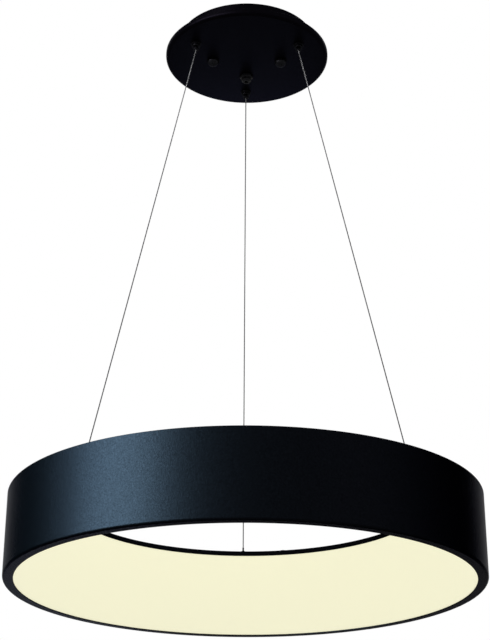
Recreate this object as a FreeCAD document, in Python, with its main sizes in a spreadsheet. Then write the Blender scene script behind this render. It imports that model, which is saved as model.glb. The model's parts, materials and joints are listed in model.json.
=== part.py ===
import FreeCAD, Part
import math
import os
import re
import Sketcher

# A ring-shaped pendant light. Three slanted steel wires hang the ring from a small round
# ceiling canopy. Origin: centre of the canopy's mounting plate, on the ceiling, +Z up.
# Lengths are in millimetres and angles in degrees.

SIZES = {
    # overall
    "drop_height": 804,            # ceiling to the ring's underside, wires fully out
    "seat_gap": 0.3,               # between curved faces that lie against each other
    "running_gap": 0.05,           # radial play of screws, stems and wires in their holes
    # ring shell
    "ring_radius": 300,
    "ring_height": 106,
    "wall_thickness": 1.2,
    "lip_width": 13.5,             # bottom lip, turned inwards
    "lip_thickness": 1.2,
    "lip_round": 3,                # outer bottom edge
    "ring_width": 75,              # from the outer face to the hole in the top plate
    "plate_thickness": 1.2,
    "rim_depth": 6.5,              # inner rim, from the plate's top downwards
    "rim_thickness": 1.2,
    # brackets that carry the top plate, and its screws
    "bracket_count": 8,
    "bracket_reach": 14,
    "bracket_height": 12,
    "bracket_thickness": 1.5,
    "bracket_angle": 3.4,
    "plate_screw_diameter": 4,
    "plate_screw_length": 8,
    "plate_screw_head_diameter": 7.4,
    "plate_screw_head_height": 2.2,
    # diffuser and what holds it
    "diffuser_thickness": 2,
    "diffuser_foot": 7,
    "diffuser_setback": 0.5,       # behind the lip's inner edge
    "diffuser_top_setback": 0.6,   # behind the inner rim's face
    "clip_count": 8,
    "clip_reach": 8.7,
    "clip_height": 12,
    "clip_thickness": 1.2,
    "clip_angle": 3,
    "liner_thickness": 0.5,
    "liner_margin": 2,             # above the clips and below the brackets
    # light engine
    "tray_gap": 1.3,               # from the lead inlet's flange to the tray
    "tray_clearance": 1.7,         # from the tray to the brackets
    "tray_thickness": 1.5,
    "tray_stud_count": 8,
    "tray_stud_diameter": 3,
    "tray_stud_length": 6,
    "tray_stud_inset": 4,
    "tray_nut_across": 5.5,
    "tray_nut_height": 2.4,
    "board_count": 4,
    "board_inset": 8,              # from the tray's inner edge
    "board_gap": 2.05,             # from the tray's nuts to the boards
    "board_thickness": 1.2,
    "board_gap_angle": 2,
    "chips_per_board": 24,
    "chip_length": 3.5,
    "chip_width": 2.8,
    "chip_height": 0.7,
    "connector_length": 4.5,
    "connector_width": 5,
    "connector_height": 3,
    "connector_inset": 1,
    "connector_angle": 2.6,        # from the gap between two boards
    "jumper_diameter": 1.6,
    "jumper_spacing": 2.4,
    "ring_terminal_length": 16,
    "ring_terminal_width": 7,
    "ring_terminal_height": 8,
    "ring_terminal_inset": 1,
    # lead inlet in the top plate
    "inlet_gap": 2.1,              # from the inner rim to the inlet's flange
    "inlet_angle": 14,             # before the first wire
    "inlet_bore": 5,
    "inlet_hole": 8,
    "inlet_flange": 10.4,
    "inlet_flange_height": 1.2,
    # suspension wires
    "wire_count": 3,
    "first_wire_angle": 90,
    "wire_diameter": 1.5,
    "exit_gap": 1.6,               # from the drum's mouth to the grippers' necks
    "anchor_gap": 1.05,            # from the inner rim to the anchors' nuts
    "anchor_stud_diameter": 3,
    "anchor_collar_diameter": 6,
    "anchor_collar_height": 1,
    "anchor_tail": 0.8,
    "anchor_nut_across": 5.5,
    "anchor_nut_height": 2.4,
    "crimp_diameter": 2.6,
    "crimp_height": 5,
    # canopy shell
    "drum_radius": 98,
    "drum_height": 22.5,
    "drum_thickness": 1.2,
    "drum_flange": 6,
    "pan_step": 19,                # how far the pan stands out past the drum
    "pan_depth": 8.5,
    "pan_thickness": 1.5,
    "pan_round": 5,
    "skirt_thickness": 1.5,
    # mounting plate
    "mount_plate_thickness": 2,
    "slot_spacing": 144,
    "slot_length": 14,
    "slot_width": 5.5,
    "mains_offset": 16,
    "mains_hole": 16,
    "mains_bore": 9,
    "mains_flange": 20,
    "mains_flange_height": 1.5,
    # hanger studs that carry the pan
    "hanger_spacing": 98,
    "hanger_diameter": 5,
    "hanger_tail": 5,
    "locknut_across": 8,
    "locknut_height": 4,
    "cap_nut_diameter": 17,
    "cap_nut_rim": 2.5,
    "cap_nut_height": 8.5,
    "cap_nut_top_diameter": 7,
    "cap_nut_crown": 3.2,
    "cap_nut_chamfer": 1.2,
    # cord gland
    "gland_offset": 40,
    "gland_thread": 12,
    "gland_across": 17,
    "gland_hex_height": 4,
    "gland_nose_diameter": 14,
    "gland_nose_height": 6,
    "gland_nose_tip": 9.8,         # diameter of its lower end
    "gland_nose_taper": 2.4,
    "gland_bore": 6,
    "gland_locknut_height": 3,
    "gland_tail": 2,
    # driver
    "driver_length": 110,
    "driver_width": 40,
    "driver_height": 19,
    "driver_offset": 38,
    "driver_base_thickness": 1.5,
    "driver_tab": 8,
    "driver_wall": 1.5,
    "driver_screw_diameter": 4,
    "driver_screw_head_diameter": 7,
    "driver_screw_head_height": 2.4,
    "circuit_margin": 2,
    "circuit_thickness": 1.6,
    "transformer_length": 26,
    "transformer_width": 20,
    "capacitor_diameter": 12,
    "capacitor_offset": 34,        # from the transformer's middle
    "component_height": 9,
    # mains terminal and earth
    "terminal_length": 30,
    "terminal_width": 18,
    "terminal_height": 14,
    "terminal_x": 45,
    "terminal_y": 40,
    "terminal_screw_diameter": 4,
    "terminal_screw_length": 5.6,
    "terminal_well_depth": 7,
    "terminal_pitch": 9,
    "lead_diameter": 2.4,
    "lead_depth": 10,              # below the ceiling
    "lead_pitch": 5,
    "earth_x": 40,
    "earth_stud_diameter": 4,
    "earth_stud_length": 12,
    "earth_tag_diameter": 9,
    "earth_tag_thickness": 0.8,
    "earth_nut_across": 7,
    "earth_nut_height": 3.2,
    # wire grippers
    "flange_diameter": 15,
    "flange_height": 1.2,
    "barrel_diameter": 12,
    "barrel_drop": 5,              # below the pan
    "barrel_floor": 2,
    "neck_diameter": 10,
    "neck_height": 11.5,           # above the pan's floor
    "neck_nut_across": 14,
    "neck_nut_height": 4,
    "chamber_diameter": 7,
    "plug_height": 2.5,
    "wire_bore": 2.2,
    "release_travel": 2.5,
    "release_spare": 0.1,
    "knob_diameter": 8.4,
    "knob_height": 2.4,
    "stem_diameter": 5,
    "shoulder_height": 1,
    "jaw_count": 2,
    "jaw_height": 5.4,
    "jaw_bottom_diameter": 5.4,
    "jaw_top_diameter": 6.4,
    "jaw_slit_angle": 16,
    "spring_diameter": 5.8,
    "spring_wire": 0.6,
    "ferrule_diameter": 4,
    "ferrule_length": 5,
}

# Places worked out from the sizes. In the ring they count upwards from its underside,
# in the canopy downwards from the ceiling, in a gripper upwards from the pan's underside.
PLACES = {
    "wall_inner": "ring_radius - wall_thickness",
    "opening_radius": "ring_radius - ring_width",
    "rim_outer": "opening_radius + rim_thickness",
    "lip_inner": "ring_radius - lip_width",
    "plate_outer": "wall_inner - seat_gap",
    "plate_bottom": "ring_height - plate_thickness",
    "rim_bottom": "ring_height - rim_depth",
    "bracket_inner": "plate_outer - bracket_reach",
    "bracket_bottom": "plate_bottom - bracket_height",
    "plate_screw_circle": "plate_outer - bracket_reach / 2",
    "foot_top": "lip_thickness + diffuser_thickness",
    "foot_inner": "lip_inner + diffuser_setback",
    "cone_top": "rim_bottom - seat_gap",
    "cone_top_inner": "opening_radius + diffuser_top_setback",
    "cone_slant": "sqrt((foot_inner - cone_top_inner)^2 + (cone_top - lip_thickness)^2)",
    "cone_wall": "diffuser_thickness * cone_slant / (cone_top - lip_thickness)",
    "clip_top": "foot_top + clip_height",
    "anchor_radius": "rim_outer + anchor_gap + anchor_nut_across / 2",
    "inlet_radius": "rim_outer + inlet_gap + inlet_flange / 2",
    "tray_inner_radius": "inlet_radius + inlet_flange / 2 + tray_gap",
    "tray_outer": "bracket_inner - tray_clearance",
    "tray_bottom": "plate_bottom - tray_thickness",
    "tray_stud_circle": "tray_outer - tray_stud_inset",
    "board_inner": "tray_inner_radius + board_inset",
    "board_outer": "tray_stud_circle - tray_nut_across / 2 - board_gap",
    "board_bottom": "tray_bottom - board_thickness",
    "chip_circle": "(board_inner + board_outer) / 2",
    "chip_count": "board_count * chips_per_board",
    "connector_outer": "board_outer - connector_inset",
    "connector_inner": "connector_outer - connector_width",
    "connector_bottom": "board_bottom - connector_height",
    "jumper_circle": "connector_outer - connector_width / 2",
    "jumper_depth": "board_bottom - connector_height / 2",
    "connector_middle": "jumper_circle * sin(connector_angle)",
    "jumper_reach": "jumper_circle + jumper_spacing / 2 + jumper_diameter / 2",
    "jumper_sweep": "2 * asin((connector_middle - connector_length / 2) / jumper_reach)",
    "ring_terminal_inner": "board_inner + ring_terminal_inset",
    "anchor_top": "ring_height + anchor_collar_height + crimp_height",
    "pan_radius": "drum_radius + pan_step",
    "pan_bottom": "drum_height + pan_depth",
    "pan_floor": "pan_bottom - pan_thickness",
    "pan_inner": "pan_radius - pan_thickness",
    "skirt_outer": "pan_radius - pan_round",
    "drum_inner": "drum_radius - drum_thickness",
    "drum_mouth": "drum_inner - drum_flange",
    "exit_radius": "drum_mouth - exit_gap - neck_diameter / 2",
    "mount_plate_radius": "drum_inner - seat_gap",
    "hanger_end": "pan_bottom + hanger_tail",
    "gland_thread_top": "pan_floor - gland_locknut_height - gland_tail",
    "driver_bottom": "mount_plate_thickness + driver_height",
    "driver_base_bottom": "mount_plate_thickness + driver_base_thickness",
    "driver_tab_x": "driver_length / 2 + driver_tab / 2",
    "terminal_well_floor": "terminal_well_depth - mount_plate_thickness - terminal_height",
    "neck_top": "pan_thickness + neck_height",
    "chamber_floor": "barrel_floor - barrel_drop",
    "chamber_top": "neck_top - plug_height",
    "knob_top": "-barrel_drop - release_travel - release_spare",
    "knob_bottom": "knob_top - knob_height",
    "shoulder_bottom": "chamber_floor + running_gap",
    "shoulder_top": "shoulder_bottom + shoulder_height",
    "jaw_top": "shoulder_top + jaw_height",
    "wire_low_end": "drop_height - anchor_top - seat_gap",
    "wire_high_end": "pan_bottom - knob_bottom + seat_gap",
    "wire_spread": "anchor_radius - exit_radius",
    "wire_fall": "wire_low_end - wire_high_end",
}

FULL_TURN = 360
HEXAGON_SIDES = 6
DRIVER_LEADS = 2
TERMINALS = 3
SAME_PLACE = 1e-4                  # mm
SAME_VOLUME = 1e-3                 # share of the whole

doc = FreeCAD.newDocument("RingPendant")
sheet = doc.addObject("Spreadsheet::Sheet", "Sizes")
places = doc.addObject("Spreadsheet::Sheet", "Places")


# ---- sheets and formulas -----------------------------------------------------------------

def formula(text):
    """Write a formula in plain size names as one that points at the two sheets."""
    def point(match):
        word = match.group(0)
        if word in SIZES:
            return "Sizes." + word
        if word in PLACES:
            return "Places." + word
        return word
    return re.sub(r"[a-z_]+[a-z]", point, str(text))


def fill_sheets():
    for row, (name, value) in enumerate(SIZES.items(), start=1):
        sheet.set(f"A{row}", name)
        sheet.set(f"B{row}", str(value))
        sheet.setAlias(f"B{row}", name)
    doc.recompute()
    for row, (name, text) in enumerate(PLACES.items(), start=1):
        places.set(f"A{row}", name)
        places.set(f"B{row}", "=" + formula(text).replace("Places.", ""))
        places.setAlias(f"B{row}", name)
        doc.recompute()


def number(text):
    """The value of a formula, as a plain number."""
    value = sheet.evalExpression(formula(text))
    return float(getattr(value, "Value", value))


# ---- building blocks ---------------------------------------------------------------------

def new_body(label):
    body = doc.addObject("PartDesign::Body", label)
    body.Label = label
    body.AllowCompound = True
    return body


def origin_part(body, role):
    return next(item for item in body.Origin.OriginFeatures if item.Role == role)


def new_sketch(body, role, level="0"):
    sketch = body.newObject("Sketcher::SketchObject", body.Name + "_sketch")
    sketch.AttachmentSupport = [(origin_part(body, role), "")]
    sketch.MapMode = "FlatFace"
    if level != "0":
        sketch.setExpression("AttachmentOffset.Base.z", formula(level))
    return sketch


def pin_point(sketch, item, end, across, up):
    """Hold one point of the sketch at two formulas, measured from its origin."""
    for kind, text in (("DistanceX", across), ("DistanceY", up)):
        index = sketch.addConstraint(Sketcher.Constraint(kind, -1, 1, item, end, number(text)))
        sketch.setExpression(f"Constraints[{index}]", formula(text))


def polygon(sketch, corners):
    first = sketch.GeometryCount
    spots = [FreeCAD.Vector(number(across), number(up), 0) for across, up in corners]
    for index, spot in enumerate(spots):
        after = spots[(index + 1) % len(spots)]
        sketch.addGeometry(Part.LineSegment(spot, after), False)
    for index, (across, up) in enumerate(corners):
        after = (index + 1) % len(corners)
        sketch.addConstraint(Sketcher.Constraint("Coincident", first + index, 2, first + after, 1))
        pin_point(sketch, first + index, 1, across, up)


def rectangle(sketch, left, right, bottom, top):
    polygon(sketch, [(left, bottom), (right, bottom), (right, top), (left, top)])


def hexagon(sketch, across_flats, x="0", y="0"):
    """A hexagon with two of its flats facing along X."""
    corners = []
    step = FULL_TURN / HEXAGON_SIDES
    for turn in range(HEXAGON_SIDES):
        reach = f"{across_flats} / 2 / cos({step / 2})"
        angle = step * (turn + 1 / 2)
        corners.append((f"{x} + {reach} * cos({angle})", f"{y} + {reach} * sin({angle})"))
    polygon(sketch, corners)


def circle(sketch, diameter, x="0", y="0"):
    centre = FreeCAD.Vector(number(x), number(y), 0)
    radius = number(f"({diameter}) / 2")
    item = sketch.addGeometry(Part.Circle(centre, FreeCAD.Vector(0, 0, 1), radius), False)
    pin_point(sketch, item, 3, x, y)
    index = sketch.addConstraint(Sketcher.Constraint("Radius", item, radius))
    sketch.setExpression(f"Constraints[{index}]", formula(f"({diameter}) / 2"))


def pad(body, sketch, height):
    feature = body.newObject("PartDesign::Pad", body.Name + "_pad")
    feature.Profile = sketch
    feature.setExpression("Length", formula(height))
    doc.recompute()
    return feature


def pocket(body, sketch, depth):
    """Cut downwards from the sketch, and make sure that something was cut."""
    before = body.Shape.Volume
    feature = body.newObject("PartDesign::Pocket", body.Name + "_pocket")
    feature.Profile = sketch
    feature.setExpression("Length", formula(depth))
    doc.recompute()
    if not feature.Shape.Volume < before:
        raise RuntimeError(body.Label + ": a pocket cuts nothing")
    return feature


def rod(body, diameter, low, high, x="0"):
    """An upright round bar between two heights."""
    sketch = new_sketch(body, "XY_Plane", low)
    circle(sketch, diameter, x=x)
    return pad(body, sketch, f"{high} - ({low})")


def turned(body, corners, sweep=None):
    """Turn a profile of (radius, height) corners about Z, all round or over an angle."""
    sketch = new_sketch(body, "XZ_Plane")
    polygon(sketch, corners)
    feature = body.newObject("PartDesign::Revolution", body.Name + "_turned")
    feature.Profile = sketch
    feature.ReferenceAxis = (sketch, ["V_Axis"])
    if sweep is None:
        feature.Angle = FULL_TURN
    else:
        feature.Midplane = True
        feature.setExpression("Angle", formula(sweep))
    doc.recompute()
    return feature


def repeat(body, features, count):
    """Repeat features of the body evenly round Z."""
    pattern = body.newObject("PartDesign::PolarPattern", body.Name + "_pattern")
    pattern.Originals = features
    pattern.Axis = (origin_part(body, "Z_Axis"), [""])
    pattern.Angle = FULL_TURN
    pattern.setExpression("Occurrences", formula(count))
    body.Tip = pattern
    doc.recompute()
    return pattern


def round_edges(body, radius, ring_radius, height):
    """Round the circular edge that has this radius and lies at this height."""
    base = body.Tip
    names = []
    for index, edge in enumerate(base.Shape.Edges, start=1):
        curve = edge.Curve
        if not isinstance(curve, Part.Circle):
            continue
        same_radius = abs(curve.Radius - number(ring_radius)) < SAME_PLACE
        same_height = abs(curve.Center.z - number(height)) < SAME_PLACE
        if same_radius and same_height:
            names.append(f"Edge{index}")
    if not names:
        raise RuntimeError(body.Label + ": no edge to round")
    feature = body.newObject("PartDesign::Fillet", body.Name + "_round")
    feature.Base = (base, names)
    feature.setExpression("Radius", formula(radius))
    doc.recompute()
    return feature


def place(item, z="0", radius="0", angle="0"):
    """Put a piece at a height, and at a radius and an angle round the lamp's axis."""
    spot = f"vector(({radius}) * cos({angle}); ({radius}) * sin({angle}); {z})"
    turn = f"rotation(vector(0; 0; 1); {angle})"
    item.setExpression("Placement", formula(f"placement({spot}; {turn})"))
    doc.recompute()


def in_ring(item, angle="0"):
    place(item, z="-drop_height", angle=angle)


def wire_angle(index):
    return f"(first_wire_angle + {index} * 360 / wire_count)"


# ---- ring shell --------------------------------------------------------------------------

def make_outer_band():
    body = new_body("outer_band")
    turned(body, [("lip_inner", "0"), ("ring_radius", "0"), ("ring_radius", "ring_height"),
                  ("wall_inner", "ring_height"), ("wall_inner", "lip_thickness"),
                  ("lip_inner", "lip_thickness")])
    round_edges(body, "lip_round", "ring_radius", "0")
    round_edges(body, "lip_round - wall_thickness", "wall_inner", "lip_thickness")
    in_ring(body)


def make_top_plate():
    body = new_body("top_plate")
    turned(body, [("opening_radius", "rim_bottom"), ("rim_outer", "rim_bottom"),
                  ("rim_outer", "plate_bottom"), ("plate_outer", "plate_bottom"),
                  ("plate_outer", "ring_height"), ("opening_radius", "ring_height")])
    screws = new_sketch(body, "XY_Plane", "ring_height")
    circle(screws, "plate_screw_diameter + 2 * running_gap", x="plate_screw_circle")
    repeat(body, [pocket(body, screws, "plate_thickness")], "bracket_count")
    anchors = new_sketch(body, "XY_Plane", "ring_height")
    for index in range(int(number("wire_count"))):
        circle(anchors, "anchor_stud_diameter + 2 * running_gap",
               x=f"anchor_radius * cos({wire_angle(index)})",
               y=f"anchor_radius * sin({wire_angle(index)})")
    pocket(body, anchors, "plate_thickness")
    inlet = new_sketch(body, "XY_Plane", "ring_height")
    circle(inlet, "inlet_hole", x="inlet_radius * cos(first_wire_angle - inlet_angle)",
           y="inlet_radius * sin(first_wire_angle - inlet_angle)")
    pocket(body, inlet, "plate_thickness")
    in_ring(body)


def make_plate_brackets():
    body = new_body("plate_brackets")
    leg = "plate_outer - bracket_thickness"
    shelf = "plate_bottom - bracket_thickness"
    tab = turned(body, [("bracket_inner", shelf), (leg, shelf), (leg, "bracket_bottom"),
                        ("plate_outer", "bracket_bottom"), ("plate_outer", "plate_bottom"),
                        ("bracket_inner", "plate_bottom")], sweep="bracket_angle")
    hole = new_sketch(body, "XY_Plane", "plate_bottom")
    circle(hole, "plate_screw_diameter + 2 * running_gap", x="plate_screw_circle")
    drilled = pocket(body, hole, "bracket_thickness")
    repeat(body, [tab, drilled], "bracket_count")
    in_ring(body)


def make_plate_screws():
    body = new_body("plate_screws")
    head = new_sketch(body, "XY_Plane", "ring_height")
    circle(head, "plate_screw_head_diameter", x="plate_screw_circle")
    top = pad(body, head, "plate_screw_head_height")
    shank = new_sketch(body, "XY_Plane", "ring_height - plate_screw_length")
    circle(shank, "plate_screw_diameter", x="plate_screw_circle")
    repeat(body, [top, pad(body, shank, "plate_screw_length")], "bracket_count")
    in_ring(body)


# ---- diffuser and its clips --------------------------------------------------------------

def make_diffuser():
    """An opal cone that widens downwards, with a flat foot that stands on the lip."""
    body = new_body("diffuser")
    foot_outer = "foot_inner + cone_wall + diffuser_foot"
    slope = "(foot_inner - cone_top_inner) / (cone_top - lip_thickness)"
    turned(body, [("foot_inner", "lip_thickness"), (foot_outer, "lip_thickness"),
                  (foot_outer, "foot_top"),
                  (f"foot_inner + cone_wall - diffuser_thickness * {slope}", "foot_top"),
                  ("cone_top_inner + cone_wall", "cone_top"), ("cone_top_inner", "cone_top")])
    in_ring(body)


def make_diffuser_clips():
    body = new_body("diffuser_clips")
    leg = "plate_outer - clip_thickness"
    finger = "plate_outer - clip_reach"
    clip = turned(body, [(finger, "foot_top"), ("plate_outer", "foot_top"),
                         ("plate_outer", "clip_top"), (leg, "clip_top"),
                         (leg, "foot_top + clip_thickness"),
                         (finger, "foot_top + clip_thickness")], sweep="clip_angle")
    repeat(body, [clip], "clip_count")
    in_ring(body, angle="180 / clip_count")


def make_reflector_liner():
    body = new_body("reflector_liner")
    inner = "plate_outer - liner_thickness"
    low = "clip_top + liner_margin"
    high = "bracket_bottom - liner_margin"
    turned(body, [(inner, low), ("plate_outer", low), ("plate_outer", high), (inner, high)])
    in_ring(body)


# ---- light engine ------------------------------------------------------------------------

def make_led_tray():
    body = new_body("led_tray")
    turned(body, [("tray_inner_radius", "tray_bottom"), ("tray_outer", "tray_bottom"),
                  ("tray_outer", "plate_bottom"), ("tray_inner_radius", "plate_bottom")])
    holes = new_sketch(body, "XY_Plane", "plate_bottom")
    circle(holes, "tray_stud_diameter + 2 * running_gap", x="tray_stud_circle")
    repeat(body, [pocket(body, holes, "tray_thickness")], "tray_stud_count")
    in_ring(body, angle="180 / tray_stud_count")


def make_tray_studs():
    body = new_body("tray_studs")
    sketch = new_sketch(body, "XY_Plane", "plate_bottom - tray_stud_length")
    circle(sketch, "tray_stud_diameter", x="tray_stud_circle")
    repeat(body, [pad(body, sketch, "tray_stud_length")], "tray_stud_count")
    in_ring(body, angle="180 / tray_stud_count")


def make_tray_nuts():
    body = new_body("tray_nuts")
    sketch = new_sketch(body, "XY_Plane", "tray_bottom - tray_nut_height")
    hexagon(sketch, "tray_nut_across", x="tray_stud_circle")
    circle(sketch, "tray_stud_diameter + 2 * running_gap", x="tray_stud_circle")
    repeat(body, [pad(body, sketch, "tray_nut_height")], "tray_stud_count")
    in_ring(body, angle="180 / tray_stud_count")


def make_led_boards():
    body = new_body("led_boards")
    board = turned(body, [("board_inner", "board_bottom"), ("board_outer", "board_bottom"),
                          ("board_outer", "tray_bottom"), ("board_inner", "tray_bottom")],
                   sweep="360 / board_count - board_gap_angle")
    repeat(body, [board], "board_count")
    in_ring(body, angle="180 / board_count")


def make_led_chips():
    body = new_body("led_chips")
    sketch = new_sketch(body, "XY_Plane", "board_bottom - chip_height")
    rectangle(sketch, "chip_circle - chip_width / 2", "chip_circle + chip_width / 2",
              "-chip_length / 2", "chip_length / 2")
    repeat(body, [pad(body, sketch, "chip_height")], "chip_count")
    in_ring(body, angle="180 / chip_count")


def make_board_connectors():
    """A plug at each end of each board, either side of the gap."""
    body = new_body("board_connectors")
    sides = []
    for side in ("", "-"):
        sketch = new_sketch(body, "XY_Plane", "connector_bottom")
        rectangle(sketch, "connector_inner", "connector_outer",
                  f"{side}connector_middle - connector_length / 2",
                  f"{side}connector_middle + connector_length / 2")
        sides.append(pad(body, sketch, "connector_height"))
    repeat(body, sides, "board_count")
    in_ring(body)


def make_jumper_leads():
    """Two short leads that bridge each gap, from plug to plug."""
    body = new_body("jumper_leads")
    bridges = []
    for side in ("-", "+"):
        sketch = new_sketch(body, "XZ_Plane")
        circle(sketch, "jumper_diameter", x=f"jumper_circle {side} jumper_spacing / 2",
               y="jumper_depth")
        bridge = body.newObject("PartDesign::Revolution", "jumper_bridge")
        bridge.Profile = sketch
        bridge.ReferenceAxis = (sketch, ["V_Axis"])
        bridge.Midplane = True
        bridge.setExpression("Angle", formula("jumper_sweep"))
        doc.recompute()
        bridges.append(bridge)
    repeat(body, bridges, "board_count")
    in_ring(body)


def make_ring_terminal():
    """The push-in terminal on the first board, beside the lead inlet."""
    body = new_body("ring_terminal")
    sketch = new_sketch(body, "XY_Plane", "board_bottom - ring_terminal_height")
    rectangle(sketch, "ring_terminal_inner", "ring_terminal_inner + ring_terminal_width",
              "-ring_terminal_length / 2", "ring_terminal_length / 2")
    pad(body, sketch, "ring_terminal_height")
    in_ring(body, angle="(first_wire_angle - inlet_angle)")


# ---- wire anchors and lead inlet in the ring ---------------------------------------------

def make_anchor_studs():
    """Studs through the top plate, with the wires' ends crimped into their tips."""
    body = new_body("anchor_studs")
    low = "plate_bottom - anchor_nut_height - anchor_tail"
    collar_top = "ring_height + anchor_collar_height"
    shank = rod(body, "anchor_stud_diameter", low, "ring_height", x="anchor_radius")
    collar = rod(body, "anchor_collar_diameter", "ring_height", collar_top, x="anchor_radius")
    crimp = rod(body, "crimp_diameter", collar_top, "anchor_top", x="anchor_radius")
    repeat(body, [shank, collar, crimp], "wire_count")
    in_ring(body, angle="first_wire_angle")


def make_anchor_nuts():
    body = new_body("anchor_nuts")
    sketch = new_sketch(body, "XY_Plane", "plate_bottom - anchor_nut_height")
    hexagon(sketch, "anchor_nut_across", x="anchor_radius")
    circle(sketch, "anchor_stud_diameter + 2 * running_gap", x="anchor_radius")
    repeat(body, [pad(body, sketch, "anchor_nut_height")], "wire_count")
    in_ring(body, angle="first_wire_angle")


def make_inlet_grommet():
    body = new_body("inlet_grommet")
    bore = "inlet_bore / 2"
    waist = "inlet_hole / 2 - running_gap"
    flange = "inlet_flange / 2"
    low = "plate_bottom - inlet_flange_height"
    high = "ring_height + inlet_flange_height"
    turned(body, [(bore, low), (flange, low), (flange, "plate_bottom"),
                  (waist, "plate_bottom"), (waist, "ring_height"), (flange, "ring_height"),
                  (flange, high), (bore, high)])
    place(body, z="-drop_height", radius="inlet_radius",
          angle="(first_wire_angle - inlet_angle)")


# ---- canopy shell ------------------------------------------------------------------------

def make_mounting_plate():
    body = new_body("mounting_plate")
    disc = new_sketch(body, "XY_Plane", "-mount_plate_thickness")
    circle(disc, "2 * mount_plate_radius")
    pad(body, disc, "mount_plate_thickness")
    holes = new_sketch(body, "XY_Plane")
    circle(holes, "mains_hole", y="mains_offset")
    circle(holes, "earth_stud_diameter + 2 * running_gap", x="earth_x", y="terminal_y")
    for side in ("", "-"):
        circle(holes, "hanger_diameter + 2 * running_gap", x=f"{side}hanger_spacing / 2")
        circle(holes, "driver_screw_diameter + 2 * running_gap", x=f"{side}driver_tab_x",
               y="-driver_offset")
    pocket(body, holes, "mount_plate_thickness")
    for side in ("", "-"):
        cut_slot(body, f"{side}slot_spacing / 2")


def cut_slot(body, middle):
    """A round-ended slot along X, as a straight cut and a hole at each end."""
    reach = "(slot_length - slot_width) / 2"
    straight = new_sketch(body, "XY_Plane")
    rectangle(straight, f"{middle} - {reach}", f"{middle} + {reach}", "-slot_width / 2",
              "slot_width / 2")
    pocket(body, straight, "mount_plate_thickness")
    for side in ("-", "+"):
        end = new_sketch(body, "XY_Plane")
        circle(end, "slot_width", x=f"{middle} {side} {reach}")
        pocket(body, end, "mount_plate_thickness")


def make_mains_grommet():
    body = new_body("mains_grommet")
    bore = "mains_bore / 2"
    neck = "mains_hole / 2 - running_gap"
    flange = "mains_flange / 2"
    low = "-mount_plate_thickness - mains_flange_height"
    turned(body, [(bore, low), (flange, low), (flange, "-mount_plate_thickness"),
                  (neck, "-mount_plate_thickness"), (neck, "0"), (bore, "0")])
    place(body, radius="mains_offset", angle="90")


def make_canopy_drum():
    body = new_body("canopy_drum")
    flange_top = "drum_thickness - drum_height"
    turned(body, [("drum_inner", "0"), ("drum_inner", flange_top), ("drum_mouth", flange_top),
                  ("drum_mouth", "-drum_height"), ("drum_radius", "-drum_height"),
                  ("drum_radius", "0")])


def make_canopy_top_ring():
    """The annulus that closes the pan's top, on a skirt that stands on the pan's floor."""
    body = new_body("canopy_top_ring")
    outer = "pan_inner - seat_gap"
    skirt_inner = "skirt_outer - skirt_thickness"
    under = "-drum_height - skirt_thickness"
    turned(body, [("drum_mouth", under), (skirt_inner, under), (skirt_inner, "-pan_floor"),
                  ("skirt_outer", "-pan_floor"), ("skirt_outer", under), (outer, under),
                  (outer, "-drum_height"), ("drum_mouth", "-drum_height")])


def make_canopy_pan():
    body = new_body("canopy_pan")
    turned(body, [("0", "-pan_bottom"), ("pan_radius", "-pan_bottom"),
                  ("pan_radius", "-drum_height"), ("pan_inner", "-drum_height"),
                  ("pan_inner", "-pan_floor"), ("0", "-pan_floor")])
    round_edges(body, "pan_round", "pan_radius", "-pan_bottom")
    round_edges(body, "pan_round - pan_thickness", "pan_inner", "-pan_floor")
    holes = new_sketch(body, "XY_Plane", "-pan_floor")
    for index in range(int(number("wire_count"))):
        circle(holes, "neck_diameter + 2 * running_gap",
               x=f"exit_radius * cos({wire_angle(index)})",
               y=f"exit_radius * sin({wire_angle(index)})")
    for side in ("", "-"):
        circle(holes, "hanger_diameter + 2 * running_gap", x=f"{side}hanger_spacing / 2")
    circle(holes, "gland_thread + 2 * running_gap", y="gland_offset")
    pocket(body, holes, "pan_thickness")


# ---- hanger studs and nuts ---------------------------------------------------------------

def make_hanger_studs():
    body = new_body("hanger_studs")
    sketch = new_sketch(body, "XY_Plane", "-hanger_end")
    for side in ("", "-"):
        circle(sketch, "hanger_diameter", x=f"{side}hanger_spacing / 2")
    pad(body, sketch, "hanger_end")


def make_hanger_locknuts():
    body = new_body("hanger_locknuts")
    sketch = new_sketch(body, "XY_Plane", "-mount_plate_thickness - locknut_height")
    for side in ("", "-"):
        hexagon(sketch, "locknut_across", x=f"{side}hanger_spacing / 2")
        circle(sketch, "hanger_diameter + 2 * running_gap", x=f"{side}hanger_spacing / 2")
    pad(body, sketch, "locknut_height")


def make_cap_nut(label, side):
    """A domed blind nut under the pan, on one hanger stud."""
    body = new_body(label)
    bore = "hanger_diameter / 2 + running_gap"
    well = "-hanger_tail - seat_gap"
    rim = "cap_nut_diameter / 2"
    shoulder = "cap_nut_diameter / 2 - cap_nut_chamfer"
    crown = "cap_nut_top_diameter / 2"
    turned(body, [(bore, "0"), (bore, well), ("0", well), ("0", "-cap_nut_height"),
                  (crown, "-cap_nut_height"), (shoulder, "-cap_nut_height + cap_nut_crown"),
                  (rim, "-cap_nut_rim"), (rim, "0")])
    place(body, z="-pan_bottom", radius=f"{side}hanger_spacing / 2")


# ---- cord gland --------------------------------------------------------------------------

def make_gland_body():
    """A hexagonal head under the pan, and the threaded sleeve that goes up through it."""
    body = new_body("gland_body")
    head = new_sketch(body, "XY_Plane", "-pan_bottom - gland_hex_height")
    hexagon(head, "gland_across", y="gland_offset")
    circle(head, "gland_bore", y="gland_offset")
    pad(body, head, "gland_hex_height")
    sleeve = new_sketch(body, "XY_Plane", "-pan_bottom")
    circle(sleeve, "gland_thread", y="gland_offset")
    circle(sleeve, "gland_bore", y="gland_offset")
    pad(body, sleeve, "pan_bottom - gland_thread_top")


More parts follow.
